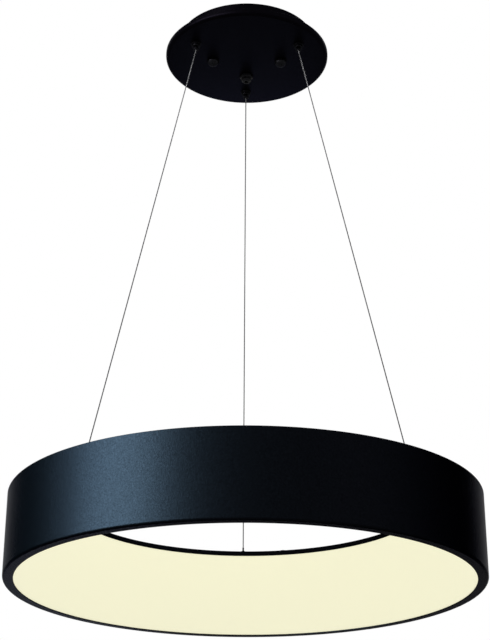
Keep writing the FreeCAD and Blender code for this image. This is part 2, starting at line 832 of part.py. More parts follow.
def make_gland_nose():
    body = new_body("gland_nose")
    low = "-gland_nose_height"
    turned(body, [("gland_bore / 2", low), ("gland_nose_tip / 2", low),
                  ("gland_nose_diameter / 2", f"{low} + gland_nose_taper"),
                  ("gland_nose_diameter / 2", "0"), ("gland_bore / 2", "0")])
    place(body, z="-pan_bottom - gland_hex_height", radius="gland_offset", angle="90")


def make_gland_locknut():
    body = new_body("gland_locknut")
    sketch = new_sketch(body, "XY_Plane", "-pan_floor")
    hexagon(sketch, "gland_across", y="gland_offset")
    circle(sketch, "gland_thread + 2 * running_gap", y="gland_offset")
    pad(body, sketch, "gland_locknut_height")


# ---- driver ------------------------------------------------------------------------------

def make_driver_base():
    """The driver's base, with a screw tab at each end, against the mounting plate."""
    body = new_body("driver_base")
    sketch = new_sketch(body, "XY_Plane", "-driver_base_bottom")
    reach = "(driver_length / 2 + driver_tab)"
    rectangle(sketch, f"-{reach}", reach, "-driver_offset - driver_width / 2",
              "-driver_offset + driver_width / 2")
    for side in ("", "-"):
        circle(sketch, "driver_screw_diameter + 2 * running_gap", x=f"{side}driver_tab_x",
               y="-driver_offset")
    pad(body, sketch, "driver_base_thickness")


def make_driver_cover():
    body = new_body("driver_cover")
    outside = new_sketch(body, "XY_Plane", "-driver_bottom")
    driver_rectangle(outside, "0")
    pad(body, outside, "driver_height - driver_base_thickness")
    inside = new_sketch(body, "XY_Plane", "-driver_base_bottom")
    driver_rectangle(inside, "driver_wall")
    pocket(body, inside, "driver_height - driver_base_thickness - driver_wall")


def driver_rectangle(sketch, inset):
    rectangle(sketch, f"-driver_length / 2 + ({inset})", f"driver_length / 2 - ({inset})",
              f"-driver_offset - driver_width / 2 + ({inset})",
              f"-driver_offset + driver_width / 2 - ({inset})")


def make_driver_circuit():
    """The driver's board, a transformer and a capacitor, inside the cover."""
    body = new_body("driver_circuit")
    level = "(-driver_bottom + driver_wall + circuit_thickness)"
    board = new_sketch(body, "XY_Plane", "-driver_bottom + driver_wall")
    driver_rectangle(board, "driver_wall + circuit_margin")
    pad(body, board, "circuit_thickness")
    transformer = new_sketch(body, "XY_Plane", level)
    rectangle(transformer, "-transformer_length / 2", "transformer_length / 2",
              "-driver_offset - transformer_width / 2", "-driver_offset + transformer_width / 2")
    pad(body, transformer, "component_height")
    capacitor = new_sketch(body, "XY_Plane", level)
    circle(capacitor, "capacitor_diameter", x="capacitor_offset", y="-driver_offset")
    pad(body, capacitor, "component_height")


def make_driver_screws():
    body = new_body("driver_screws")
    heads = new_sketch(body, "XY_Plane", "-driver_base_bottom - driver_screw_head_height")
    shanks = new_sketch(body, "XY_Plane", "-driver_base_bottom")
    for side in ("", "-"):
        circle(heads, "driver_screw_head_diameter", x=f"{side}driver_tab_x",
               y="-driver_offset")
        circle(shanks, "driver_screw_diameter", x=f"{side}driver_tab_x", y="-driver_offset")
    pad(body, heads, "driver_screw_head_height")
    pad(body, shanks, "driver_base_bottom")


# ---- mains terminal and earth ------------------------------------------------------------

def make_terminal_block():
    body = new_body("terminal_block")
    sketch = new_sketch(body, "XY_Plane", "-mount_plate_thickness - terminal_height")
    rectangle(sketch, "-terminal_x - terminal_length / 2", "-terminal_x + terminal_length / 2",
              "terminal_y - terminal_width / 2", "terminal_y + terminal_width / 2")
    pad(body, sketch, "terminal_height")
    wells = new_sketch(body, "XY_Plane", "terminal_well_floor")
    for index in range(TERMINALS):
        circle(wells, "terminal_screw_diameter + 2 * running_gap",
               x=f"-terminal_x + ({index} - 1) * terminal_pitch", y="terminal_y")
    pocket(body, wells, "terminal_well_depth")


def make_terminal_screws():
    body = new_body("terminal_screws")
    sketch = new_sketch(body, "XY_Plane", "terminal_well_floor - terminal_screw_length")
    for index in range(TERMINALS):
        circle(sketch, "terminal_screw_diameter",
               x=f"-terminal_x + ({index} - 1) * terminal_pitch", y="terminal_y")
    pad(body, sketch, "terminal_screw_length")


def make_driver_leads():
    """Two straight mains leads from the terminal block back to the driver."""
    body = new_body("driver_leads")
    start = "(driver_offset - driver_width / 2)"
    end = "(-terminal_y + terminal_width / 2)"
    sketch = new_sketch(body, "XZ_Plane", end)
    for index in range(DRIVER_LEADS):
        circle(sketch, "lead_diameter", x=f"-terminal_x + {index + 1} * lead_pitch",
               y="-lead_depth")
    pad(body, sketch, f"{start} - {end}")


def make_earth_stud():
    body = new_body("earth_stud")
    sketch = new_sketch(body, "XY_Plane", "-earth_stud_length")
    circle(sketch, "earth_stud_diameter", x="earth_x", y="terminal_y")
    pad(body, sketch, "earth_stud_length")


def make_earth_tag():
    """A ring tag on the earth stud, folded down to the lead's level."""
    body = new_body("earth_tag")
    washer = new_sketch(body, "XY_Plane", "-mount_plate_thickness - earth_tag_thickness")
    circle(washer, "earth_tag_diameter", x="earth_x", y="terminal_y")
    circle(washer, "earth_stud_diameter + 2 * running_gap", x="earth_x", y="terminal_y")
    pad(body, washer, "earth_tag_thickness")
    fold = new_sketch(body, "XY_Plane", "-lead_depth - lead_diameter / 2")
    rectangle(fold, "earth_x - earth_tag_diameter / 2 - earth_tag_thickness / 2",
              "earth_x - earth_tag_diameter / 2 + earth_tag_thickness / 2",
              "terminal_y - lead_diameter / 2", "terminal_y + lead_diameter / 2")
    pad(body, fold, "lead_depth + lead_diameter / 2 - mount_plate_thickness")


def make_earth_nut():
    body = new_body("earth_nut")
    level = "-mount_plate_thickness - earth_tag_thickness - earth_nut_height"
    sketch = new_sketch(body, "XY_Plane", level)
    hexagon(sketch, "earth_nut_across", x="earth_x", y="terminal_y")
    circle(sketch, "earth_stud_diameter + 2 * running_gap", x="earth_x", y="terminal_y")
    pad(body, sketch, "earth_nut_height")


def make_earth_lead():
    """A straight lead from the terminal block to the earth tag."""
    body = new_body("earth_lead")
    start = "(-terminal_x + terminal_length / 2)"
    end = "earth_x - earth_tag_diameter / 2 - earth_tag_thickness / 2"
    sketch = new_sketch(body, "YZ_Plane", start)
    circle(sketch, "lead_diameter", x="terminal_y", y="-lead_depth")
    pad(body, sketch, f"{end} - {start}")


# ---- wire grippers -----------------------------------------------------------------------

def at_exit(body, index):
    place(body, z="-pan_bottom", radius="exit_radius", angle=wire_angle(index))


def make_gripper_barrel(index):
    body = new_body(f"gripper_barrel_{index + 1}")
    chamber = "chamber_diameter / 2"
    passage = "stem_diameter / 2 + running_gap"
    turned(body, [(chamber, "chamber_floor"), (passage, "chamber_floor"),
                  (passage, "-barrel_drop"), ("barrel_diameter / 2", "-barrel_drop"),
                  ("barrel_diameter / 2", "-flange_height"),
                  ("flange_diameter / 2", "-flange_height"), ("flange_diameter / 2", "0"),
                  ("neck_diameter / 2", "0"), ("neck_diameter / 2", "neck_top"),
                  (chamber, "neck_top")])
    at_exit(body, index)


def make_release_collar(index):
    """The sleeve that is pushed up to free the wire: knob, stem and retaining shoulder."""
    body = new_body(f"release_collar_{index + 1}")
    bore = "wire_bore / 2"
    shoulder = "chamber_diameter / 2 - 2 * running_gap"
    turned(body, [(bore, "knob_bottom"), ("knob_diameter / 2", "knob_bottom"),
                  ("knob_diameter / 2", "knob_top"), ("stem_diameter / 2", "knob_top"),
                  ("stem_diameter / 2", "shoulder_bottom"), (shoulder, "shoulder_bottom"),
                  (shoulder, "shoulder_top"), (bore, "shoulder_top")])
    at_exit(body, index)


def make_gripper_jaws(index):
    """Split cones that close on the wire."""
    body = new_body(f"gripper_jaws_{index + 1}")
    bore = "wire_diameter / 2 + running_gap"
    jaw = turned(body, [(bore, "shoulder_top"), ("jaw_bottom_diameter / 2", "shoulder_top"),
                        ("jaw_top_diameter / 2", "jaw_top"), (bore, "jaw_top")],
                 sweep="360 / jaw_count - jaw_slit_angle")
    repeat(body, [jaw], "jaw_count")
    at_exit(body, index)


def make_gripper_spring(index):
    body = new_body(f"gripper_spring_{index + 1}")
    outer = "spring_diameter / 2"
    inner = "spring_diameter / 2 - spring_wire"
    low = "jaw_top + running_gap"
    high = "chamber_top - running_gap"
    turned(body, [(inner, low), (outer, low), (outer, high), (inner, high)])
    at_exit(body, index)


def make_gripper_plugs():
    """Screw plugs that close the grippers' chambers."""
    body = new_body("gripper_plugs")
    sketch = new_sketch(body, "XY_Plane", "-pan_bottom + chamber_top")
    circle(sketch, "chamber_diameter - 2 * running_gap", x="exit_radius")
    circle(sketch, "wire_bore", x="exit_radius")
    repeat(body, [pad(body, sketch, "plug_height")], "wire_count")
    place(body, angle="first_wire_angle")


def make_gripper_nuts():
    body = new_body("gripper_nuts")
    sketch = new_sketch(body, "XY_Plane", "-pan_floor")
    hexagon(sketch, "neck_nut_across", x="exit_radius")
    circle(sketch, "neck_diameter + 2 * running_gap", x="exit_radius")
    repeat(body, [pad(body, sketch, "neck_nut_height")], "wire_count")
    place(body, angle="first_wire_angle")


def make_wire_tails():
    """The wires' upper ends inside the grippers, with the ferrules that stop them."""
    body = new_body("wire_tails")
    thread = rod(body, "wire_diameter", "knob_bottom", "neck_top", x="exit_radius")
    ferrule = rod(body, "ferrule_diameter", "neck_top", "neck_top + ferrule_length",
                  x="exit_radius")
    repeat(body, [thread, ferrule], "wire_count")
    place(body, z="-pan_bottom", angle="first_wire_angle")


def make_suspension_wire(index):
    """The taut wire, straight from its gripper down and outwards to its anchor."""
    wire = doc.addObject("Part::Cylinder", f"suspension_wire_{index + 1}")
    wire.Label = f"suspension_wire_{index + 1}"
    wire.setExpression("Radius", formula("wire_diameter / 2"))
    wire.setExpression("Height", formula("sqrt(wire_spread^2 + wire_fall^2)"))
    angle = wire_angle(index)
    spot = f"vector(anchor_radius * cos({angle}); anchor_radius * sin({angle}); -wire_low_end)"
    lean = f"rotation({angle}; -atan(wire_spread / wire_fall); 0)"
    wire.setExpression("Placement", formula(f"placement({spot}; {lean})"))
    doc.recompute()
    straight = math.hypot(number("wire_spread"), number("wire_fall"))
    section = math.pi * number("wire_diameter / 2") ** 2
    if abs(wire.Shape.Volume - section * straight) > SAME_VOLUME * wire.Shape.Volume:
        raise RuntimeError(wire.Label + ": its volume isn't its section times its length")
    print(wire.Label, "length", round(straight, 1), "mm, straight, no bends")


# ---- assembly ----------------------------------------------------------------------------

def make_ring():
    make_outer_band()
    make_top_plate()
    make_plate_brackets()
    make_plate_screws()
    make_diffuser()
    make_diffuser_clips()
    make_reflector_liner()
    make_led_tray()
    make_tray_studs()
    make_tray_nuts()
    make_led_boards()
    make_led_chips()
    make_board_connectors()
    make_jumper_leads()
    make_ring_terminal()
    make_anchor_studs()
    make_anchor_nuts()
    make_inlet_grommet()


def make_canopy():
    make_mounting_plate()
    make_mains_grommet()
    make_canopy_drum()
    make_canopy_top_ring()
    make_canopy_pan()
    make_hanger_studs()
    make_hanger_locknuts()
    make_cap_nut("cap_nut_right", "")
    make_cap_nut("cap_nut_left", "-")
    make_gland_body()
    make_gland_nose()
    make_gland_locknut()
    make_driver_base()
    make_driver_cover()
    make_driver_circuit()
    make_driver_screws()
    make_terminal_block()
    make_terminal_screws()
    make_driver_leads()
    make_earth_stud()
    make_earth_tag()
    make_earth_nut()
    make_earth_lead()
    make_gripper_plugs()
    make_gripper_nuts()
    make_wire_tails()


def make_suspension():
    for index in range(int(number("wire_count"))):
        make_gripper_barrel(index)
        make_release_collar(index)
        make_gripper_jaws(index)
        make_gripper_spring(index)
        make_suspension_wire(index)


def pieces():
    """Every finished piece: the bodies and the plain cylinders."""
    kinds = ("PartDesign::Body", "Part::Cylinder")
    return [item for item in doc.Objects if item.TypeId in kinds]


def check_document():
    for item in doc.Objects:
        if "Invalid" in item.State or "Error" in item.State:
            raise RuntimeError(f"{item.Label} failed: {item.State}")
    for piece in pieces():
        if piece.Shape.isNull() or not piece.Shape.isValid():
            raise RuntimeError(piece.Label + " has no valid shape")


def write_parts():
    os.makedirs("parts", exist_ok=True)
    for piece in pieces():
        piece.Shape.exportStep(f"parts/{piece.Label}.step")


fill_sheets()
make_ring()
make_canopy()
make_suspension()
doc.recompute()
check_document()
write_parts()
print(len(pieces()), "pieces written")
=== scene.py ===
"""A ring-shaped pendant light on three slanted steel wires, under a small round canopy.

The CAD pieces keep their places. This script gives every piece its finish, makes the turned
shells and the small hardware in full detail, strands the wires and sets up the studio.
Lengths are in metres, in the frame of the CAD model: +Z up, the ceiling at z = 0.
"""
import json
import math

import bmesh
import bpy
from mathutils import Matrix, Vector


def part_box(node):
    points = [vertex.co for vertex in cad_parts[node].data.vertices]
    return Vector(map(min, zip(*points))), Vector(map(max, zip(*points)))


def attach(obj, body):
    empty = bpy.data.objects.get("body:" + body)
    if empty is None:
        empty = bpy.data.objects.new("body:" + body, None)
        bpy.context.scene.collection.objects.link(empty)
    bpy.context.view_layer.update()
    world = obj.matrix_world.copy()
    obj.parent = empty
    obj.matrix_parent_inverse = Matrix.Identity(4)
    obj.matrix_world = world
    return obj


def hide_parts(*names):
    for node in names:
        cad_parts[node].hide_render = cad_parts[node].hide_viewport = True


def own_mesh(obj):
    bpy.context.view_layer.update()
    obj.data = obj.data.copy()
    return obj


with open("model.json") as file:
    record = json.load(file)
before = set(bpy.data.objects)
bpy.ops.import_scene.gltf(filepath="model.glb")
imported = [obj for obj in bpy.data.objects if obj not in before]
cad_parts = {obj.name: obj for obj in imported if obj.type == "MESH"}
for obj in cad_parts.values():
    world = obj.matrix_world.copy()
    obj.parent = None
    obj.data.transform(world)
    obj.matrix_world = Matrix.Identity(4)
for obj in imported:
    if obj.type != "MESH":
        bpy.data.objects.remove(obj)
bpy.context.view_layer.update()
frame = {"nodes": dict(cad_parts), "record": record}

MM = 0.001
WIRES = 3
FIRST_WIRE = math.radians(90)
BEHIND = 1.0                       # radius of the sweeping circle, taken off again in the sweep
WIDE_ROUND = 1 * MM                # a round of more than this has the fine steps
FINE_STEPS = 8
COARSE_STEPS = 4
LONG_FLAT = 8 * MM                 # a flat of more than this gets a point beside its round
EDGE_HOLD = 0.5 * MM               # how far that point is from the round
SEAM = 0.005 * MM                  # points closer than this are one point
SHARP_ANGLE = 32                   # degrees between faces, over which an edge is sharp
STRAND_ANGLE = 70                  # the same for round wire with few sides
HOLE_SEGMENTS = 48
RING_SEGMENTS = 384
CANOPY_SEGMENTS = 240


# ---- sizes, read from the frame where it has them --------------------------------------------

def low(node):
    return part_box(node)[0]


def high(node):
    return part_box(node)[1]


RING_RADIUS = high("outer_band").x
RING_TOP = high("outer_band").z
RING_FOOT = low("outer_band").z
PLATE_RADIUS = high("top_plate").x
WALL = 1.2 * MM
LIP = 13.5 * MM
LIP_ROUND = 3 * MM
OPENING = 225 * MM
RIM_FOOT = low("top_plate").z
SHEET_EDGE = 0.35 * MM             # how far a cut sheet edge is rounded
SMALL_EDGE = 0.2 * MM
FINE_EDGE = 0.1 * MM
ANCHOR_CIRCLE = 230 * MM
EXIT_CIRCLE = 84.2 * MM
INLET_CIRCLE = 233.5 * MM
INLET_ANGLE = FIRST_WIRE - math.radians(14)
SCREW_CIRCLE = 291.5 * MM
SCREW_COUNT = 8
HANGER_X = 49 * MM
GLAND_Y = 40 * MM
PAN_FOOT = low("canopy_pan").z
PAN_RADIUS = high("canopy_pan").x
PAN_RIM = high("canopy_pan").z
DRUM_RADIUS = high("canopy_drum").x
DRUM_LIP = 6 * MM                  # width of the flange at the drum's foot
WIRE_TOP = -41.3 * MM              # the open wire's ends, under its gripper and over its anchor
WIRE_FOOT = -691.7 * MM


# ---- node trees --------------------------------------------------------------------------------

class Nodes:
    """Adds nodes to a tree, with their settings and what feeds each input, in one call."""

    def __init__(self, tree):
        self.tree = tree

    def add(self, kind, feeds=None, **settings):
        node = self.tree.nodes.new(kind)
        for name, value in settings.items():
            setattr(node, name, value)
        for place, value in (feeds or {}).items():
            if isinstance(value, bpy.types.NodeSocket):
                self.tree.links.new(value, node.inputs[place])
            else:
                node.inputs[place].default_value = value
        return node

    def calc(self, operation, first, second=0.0):
        return self.add("ShaderNodeMath", {0: first, 1: second}, operation=operation).outputs[0]


SOCKETS = {float: "NodeSocketFloat", int: "NodeSocketInt", "material": "NodeSocketMaterial"}


def geometry_tree(name, sizes):
    """A geometry tree with one named input for each size, and a material."""
    tree = bpy.data.node_groups.new(name, "GeometryNodeTree")
    face = tree.interface
    face.new_socket("Geometry", in_out="OUTPUT", socket_type="NodeSocketGeometry")
    face.new_socket("Geometry", in_out="INPUT", socket_type="NodeSocketGeometry")
    for size, value in sizes.items():
        socket = face.new_socket(size, in_out="INPUT", socket_type=SOCKETS[type(value)])
        socket.default_value = value
    face.new_socket("Material", in_out="INPUT", socket_type=SOCKETS["material"])
    nodes = Nodes(tree)
    return tree, nodes, nodes.add("NodeGroupInput").outputs


def end_tree(nodes, inputs, geometry, crease=SHARP_ANGLE):
    """Close the seams, shade smooth except at creases, set the material and realize."""
    merged = nodes.add("GeometryNodeMergeByDistance", {"Geometry": geometry, "Distance": SEAM})
    smooth = nodes.add("GeometryNodeSetShadeSmooth", {0: merged.outputs[0], 2: True},
                       domain="FACE")
    angle = nodes.add("GeometryNodeInputMeshEdgeAngle").outputs["Unsigned Angle"]
    sharp = nodes.add("FunctionNodeCompare", {0: angle, 1: math.radians(crease)},
                      operation="GREATER_THAN")
    creased = nodes.add("GeometryNodeSetShadeSmooth",
                        {0: smooth.outputs[0], 1: sharp.outputs[0], 2: False}, domain="EDGE")
    dressed = nodes.add("GeometryNodeSetMaterial",
                        {0: creased.outputs[0], "Material": inputs["Material"]})
    solid = nodes.add("GeometryNodeRealizeInstances", {0: dressed.outputs[0]})
    nodes.add("NodeGroupOutput", {0: solid.outputs[0]})


def sweep_tree():
    """Turn a section, drawn in the XZ plane, all the way round Z.

    Between two heights, and outside a radius, it can have ribs or six flats.
    """
    sizes = {"Segments": 96, "Ribs": 0.0, "Rib depth": 0.0, "Flats": 1.0,
             "Shape from": -10.0, "Shape to": 10.0, "Shape outside": 0.0}
    tree, nodes, inputs = geometry_tree("turned_round_z", sizes)
    section = nodes.add("GeometryNodeMeshToCurve", {0: inputs["Geometry"]})
    flat = nodes.add("GeometryNodeTransform", {
        0: section.outputs[0], "Translation": (-BEHIND, 0, 0),
        "Rotation": (math.radians(90), 0, 0)})
    circle = nodes.add("GeometryNodeCurvePrimitiveCircle",
                       {"Resolution": inputs["Segments"], "Radius": BEHIND})
    swept = nodes.add("GeometryNodeCurveToMesh", {0: circle.outputs[0], 1: flat.outputs[0]})
    outwards = nodes.add("GeometryNodeFlipFaces", {0: swept.outputs[0]})
    spot = nodes.add("GeometryNodeInputPosition").outputs[0]
    parts = nodes.add("ShaderNodeSeparateXYZ", {0: spot}).outputs
    angle = nodes.calc("ARCTAN2", parts["Y"], parts["X"])
    wave = nodes.calc("COSINE", nodes.calc("MULTIPLY", angle, inputs["Ribs"]))
    dip = nodes.calc("MULTIPLY", nodes.calc("SUBTRACT", 1.0, wave), inputs["Rib depth"])
    plan = nodes.add("ShaderNodeCombineXYZ", {0: parts["X"], 1: parts["Y"]}).outputs[0]
    radius = nodes.add("ShaderNodeVectorMath", {0: plan}, operation="LENGTH").outputs["Value"]
    above = nodes.calc("GREATER_THAN", parts["Z"], inputs["Shape from"])
    below = nodes.calc("LESS_THAN", parts["Z"], inputs["Shape to"])
    outside = nodes.calc("GREATER_THAN", radius, inputs["Shape outside"])
    where = nodes.calc("MULTIPLY", nodes.calc("MULTIPLY", above, below), outside)
    ribbed = nodes.calc("SUBTRACT", radius, nodes.calc("MULTIPLY", dip, 0.5))
    side = math.pi / 3
    from_middle = nodes.calc("SUBTRACT", nodes.calc("FLOORED_MODULO", angle, side), side / 2)
    flat_side = nodes.calc("DIVIDE", inputs["Flats"], nodes.calc("COSINE", from_middle))
    shaped = nodes.calc("MINIMUM", ribbed, flat_side)
    outward = nodes.add("ShaderNodeVectorMath", {0: plan}, operation="NORMALIZE").outputs[0]
    change = nodes.add("ShaderNodeVectorMath",
                       {0: outward, 3: nodes.calc("SUBTRACT", shaped, radius)},
                       operation="SCALE").outputs[0]
    moulded_round = nodes.add("GeometryNodeSetPosition",
                              {0: outwards.outputs[0], "Selection": where, "Offset": change})
    end_tree(nodes, inputs, moulded_round.outputs[0])
    return tree


def crease_tree():
    """Only close the seams of a piece and crease its edges."""
    tree, nodes, inputs = geometry_tree("creased", {})
    end_tree(nodes, inputs, inputs["Geometry"])
    return tree


def array_tree():
    """Repeat a piece evenly round Z, from a first angle, each copy turned with its place."""
    sizes = {"Count": 8, "Circle": 0.1, "First angle": 0.0}
    tree, nodes, inputs = geometry_tree("repeated_round_z", sizes)
    places = nodes.add("GeometryNodeMeshLine", {"Count": inputs["Count"], "Offset": (0, 0, 0)})
    index = nodes.add("GeometryNodeInputIndex").outputs[0]
    step = nodes.calc("DIVIDE", 2 * math.pi, inputs["Count"])
    angle = nodes.calc("ADD", nodes.calc("MULTIPLY", index, step), inputs["First angle"])
    across = nodes.calc("MULTIPLY", nodes.calc("COSINE", angle), inputs["Circle"])
    along = nodes.calc("MULTIPLY", nodes.calc("SINE", angle), inputs["Circle"])
    spot = nodes.add("ShaderNodeCombineXYZ", {0: across, 1: along}).outputs[0]
    placed = nodes.add("GeometryNodeSetPosition", {0: places.outputs[0], "Position": spot})
    turn = nodes.add("ShaderNodeCombineXYZ", {2: angle}).outputs[0]
    copies = nodes.add("GeometryNodeInstanceOnPoints", {
        "Points": placed.outputs[0], "Instance": inputs["Geometry"], "Rotation": turn})
    dressed = nodes.add("GeometryNodeSetMaterial",
                        {0: copies.outputs[0], "Material": inputs["Material"]})
    solid = nodes.add("GeometryNodeRealizeInstances", {0: dressed.outputs[0]})
    nodes.add("NodeGroupOutput", {0: solid.outputs[0]})
    return tree


def rope_tree():
    """Lay touching strands side by side round a core, along a route."""
    sizes = {"Strands": 12, "Wire radius": 0.75 * MM, "Lay length": 16 * MM, "Steps": 600,
             "Sides": 5}
    tree, nodes, inputs = geometry_tree("stranded_rope", sizes)
    route = nodes.add("GeometryNodeMeshToCurve", {0: inputs["Geometry"]})
    line = nodes.add("GeometryNodeResampleCurve",
                     {0: route.outputs[0], "Count": inputs["Steps"]}, mode="COUNT")
    copies = nodes.add("GeometryNodeDuplicateElements",
                       {0: line.outputs[0], "Amount": inputs["Strands"]}, domain="SPLINE")
    share = nodes.calc("DIVIDE", copies.outputs["Duplicate Index"], inputs["Strands"])
    laid = nodes.add("GeometryNodeSplineParameter").outputs["Length"]
    turns = nodes.calc("ADD", nodes.calc("DIVIDE", laid, inputs["Lay length"]), share)
    angle = nodes.calc("MULTIPLY", turns, 2 * math.pi)
    pitch = nodes.calc("SINE", nodes.calc("DIVIDE", math.pi, inputs["Strands"]))
    reach = nodes.calc("DIVIDE", inputs["Wire radius"], nodes.calc("ADD", pitch, 1.0))
    strand = nodes.calc("SUBTRACT", inputs["Wire radius"], reach)
    normal = nodes.add("GeometryNodeInputNormal").outputs[0]
    tangent = nodes.add("GeometryNodeInputTangent").outputs[0]
    side = nodes.add("ShaderNodeVectorMath", {0: tangent, 1: normal},
                     operation="CROSS_PRODUCT").outputs[0]
    first = nodes.add("ShaderNodeVectorMath", {0: normal, 3: nodes.calc("COSINE", angle)},
                      operation="SCALE").outputs[0]
    second = nodes.add("ShaderNodeVectorMath", {0: side, 3: nodes.calc("SINE", angle)},
                       operation="SCALE").outputs[0]
    round_core = nodes.add("ShaderNodeVectorMath", {0: first, 1: second}).outputs[0]
    offset = nodes.add("ShaderNodeVectorMath", {0: round_core, 3: reach},
                       operation="SCALE").outputs[0]
    wound = nodes.add("GeometryNodeSetPosition", {0: copies.outputs[0], "Offset": offset})
    outline = nodes.add("GeometryNodeCurvePrimitiveCircle",
                        {"Resolution": inputs["Sides"], "Radius": strand})
    strands = nodes.add("GeometryNodeCurveToMesh",
                        {0: wound.outputs[0], 1: outline.outputs[0], "Fill Caps": True})
    middle = nodes.add("GeometryNodeCurvePrimitiveCircle",
                       {"Resolution": 12, "Radius": reach})
    core = nodes.add("GeometryNodeCurveToMesh",
                     {0: route.outputs[0], 1: middle.outputs[0], "Fill Caps": True})
    both = nodes.add("GeometryNodeJoinGeometry", {0: core.outputs[0]})
    tree.links.new(strands.outputs[0], both.inputs[0])
    end_tree(nodes, inputs, both.outputs[0], STRAND_ANGLE)
    return tree


def coil_tree():
    """A compression spring from the ground up, with its wire swept along a spiral."""
    sizes = {"Turns": 7.0, "Coil radius": 2.6 * MM, "Coil height": 6.5 * MM,
             "Wire thickness": 0.3 * MM}
    tree, nodes, inputs = geometry_tree("coil_spring", sizes)
    spiral = nodes.add("GeometryNodeCurveSpiral", {
        "Resolution": 24, "Rotations": inputs["Turns"], "Start Radius": inputs["Coil radius"],
        "End Radius": inputs["Coil radius"], "Height": inputs["Coil height"]})
    outline = nodes.add("GeometryNodeCurvePrimitiveCircle",
                        {"Resolution": 8, "Radius": inputs["Wire thickness"]})
    wire = nodes.add("GeometryNodeCurveToMesh",
                     {0: spiral.outputs[0], 1: outline.outputs[0], "Fill Caps": True})
    end_tree(nodes, inputs, wire.outputs[0], STRAND_ANGLE)
    return tree


# ---- making pieces -----------------------------------------------------------------------------

def new_object(name, mesh):
    piece = bpy.data.objects.new(name, mesh)
    bpy.context.scene.collection.objects.link(piece)
    return piece


def grow(piece, tree, material, sizes):
    """Run a tree on a piece with these sizes and keep the result as its plain mesh."""
    modifier = piece.modifiers.new(tree.name, "NODES")
    modifier.node_group = tree
    for item in tree.interface.items_tree:
        if item.in_out == "INPUT" and item.name in sizes:
            modifier[item.identifier] = sizes[item.name]
        if item.name == "Material":
            modifier[item.identifier] = material
    return keep_result(piece)


def keep_result(piece):
    depsgraph = bpy.context.evaluated_depsgraph_get()
    mesh = bpy.data.meshes.new_from_object(piece.evaluated_get(depsgraph), depsgraph=depsgraph)
    piece.modifiers.clear()
    piece.data = mesh
    mesh.name = piece.name
    return piece


def rounded(corners):
    """Points of a section from (radius, height, rounding) corners.

    A long flat beside a round gets a point close to it, so that the flat is shaded flat.
    """
    points = []
    for index, (across, up, rounding) in enumerate(corners):
        corner = Vector((across, up))
        to_last = Vector(corners[index - 1][:2]) - corner
        to_next = Vector(corners[(index + 1) % len(corners)][:2]) - corner
        back, forth = to_last.normalized(), to_next.normalized()
        half = back.angle(forth) / 2
        if rounding == 0:
            points.append(corner)
            continue
        cut = rounding / math.tan(half)
        centre = corner + (back + forth).normalized() * (rounding / math.sin(half))
        start = corner + back * cut - centre
        sweep = start.angle_signed(corner + forth * cut - centre)
        steps = FINE_STEPS if rounding > WIDE_ROUND else COARSE_STEPS
        if to_last.length > LONG_FLAT:
            points.append(corner + back * (cut + EDGE_HOLD))
        for step in range(steps + 1):
            points.append(centre + Matrix.Rotation(-sweep * step / steps, 2) @ start)
        if to_next.length > LONG_FLAT:
            points.append(corner + forth * (cut + EDGE_HOLD))
    return points


def turned(name, corners, material, segments, shape=None):
    """A piece turned round Z from a section given anticlockwise, outside to the right.

    A solid piece's section starts and ends on the axis. The shape gives it ribs or flats.
    """
    points = rounded(corners)
    mesh = bpy.data.meshes.new(name)
    count = len(points)
    edges = [(index, (index + 1) % count) for index in range(count)]
    if corners[0][0] == 0:
        edges.pop()
    mesh.from_pydata([(point.x, 0, point.y) for point in points], edges, [])
    sizes = {"Segments": segments}
    sizes.update(shape or {})
    return grow(new_object(name, mesh), TURN, material, sizes)


def moved(piece, offset):
    piece.data.transform(Matrix.Translation(offset))
    return piece


def round_the_ring(piece, material, count, circle, first_angle=0.0):
    return grow(piece, ROUND, material,
                {"Count": count, "Circle": circle, "First angle": first_angle})


def drilled(piece, holes):
    """Cut upright holes, each (x, y, diameter), right through a piece."""
    builder = bmesh.new()
    floor, roof = (min(v.co.z for v in piece.data.vertices),
                   max(v.co.z for v in piece.data.vertices))
    for across, along, diameter in holes:
        middle = Matrix.Translation((across, along, (floor + roof) / 2))
        bmesh.ops.create_cone(builder, cap_ends=True, segments=HOLE_SEGMENTS,
                              radius1=diameter / 2, radius2=diameter / 2,
                              depth=(roof - floor) * 2, matrix=middle)
    return cut_with(piece, builder)


def cut_with(piece, builder, self_crossing=False):
    """Take the builder's shapes out of a piece and crease its new edges."""
    mesh = bpy.data.meshes.new("cutter")
    builder.to_mesh(mesh)
    builder.free()
    cutter = new_object("cutter", mesh)
    cut = piece.modifiers.new("cut", "BOOLEAN")
    cut.object = cutter
    cut.solver = "EXACT"
    cut.use_self = self_crossing
    keep_result(piece)
    bpy.data.objects.remove(cutter)
    return grow(piece, CREASE, piece.data.materials[0], {})


def stand_for(piece, body, material_slot, *nodes):
    """Let a piece move with a body and be seen in place of these CAD nodes."""
    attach(piece, body)
    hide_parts(*nodes)
    return piece


def polar(radius, angle):
    return math.cos(angle) * radius, math.sin(angle) * radius


def at_wire(index, circle):
    return Vector((*polar(circle, FIRST_WIRE + 2 * math.pi * index / WIRES), 0))


TURN = sweep_tree()
CREASE = crease_tree()
ROUND = array_tree()
ROPE = rope_tree()
COIL = coil_tree()


# ---- finishes ----------------------------------------------------------------------------------

def new_finish(name, values):
    """A material whose constant values sit on the shader's own sockets."""
    material = bpy.data.materials.new(name)
    material.use_nodes = True
    nodes = Nodes(material.node_tree)
    shader = material.node_tree.nodes["Principled BSDF"]
    for socket, value in values.items():
        shader.inputs[socket].default_value = value
    place = nodes.add("ShaderNodeTexCoord").outputs["Object"]
    return material, nodes, shader, place


def feed(nodes, shader, **patterns):
    for socket, pattern in patterns.items():
        nodes.tree.links.new(pattern, shader.inputs[socket.replace("_", " ")])


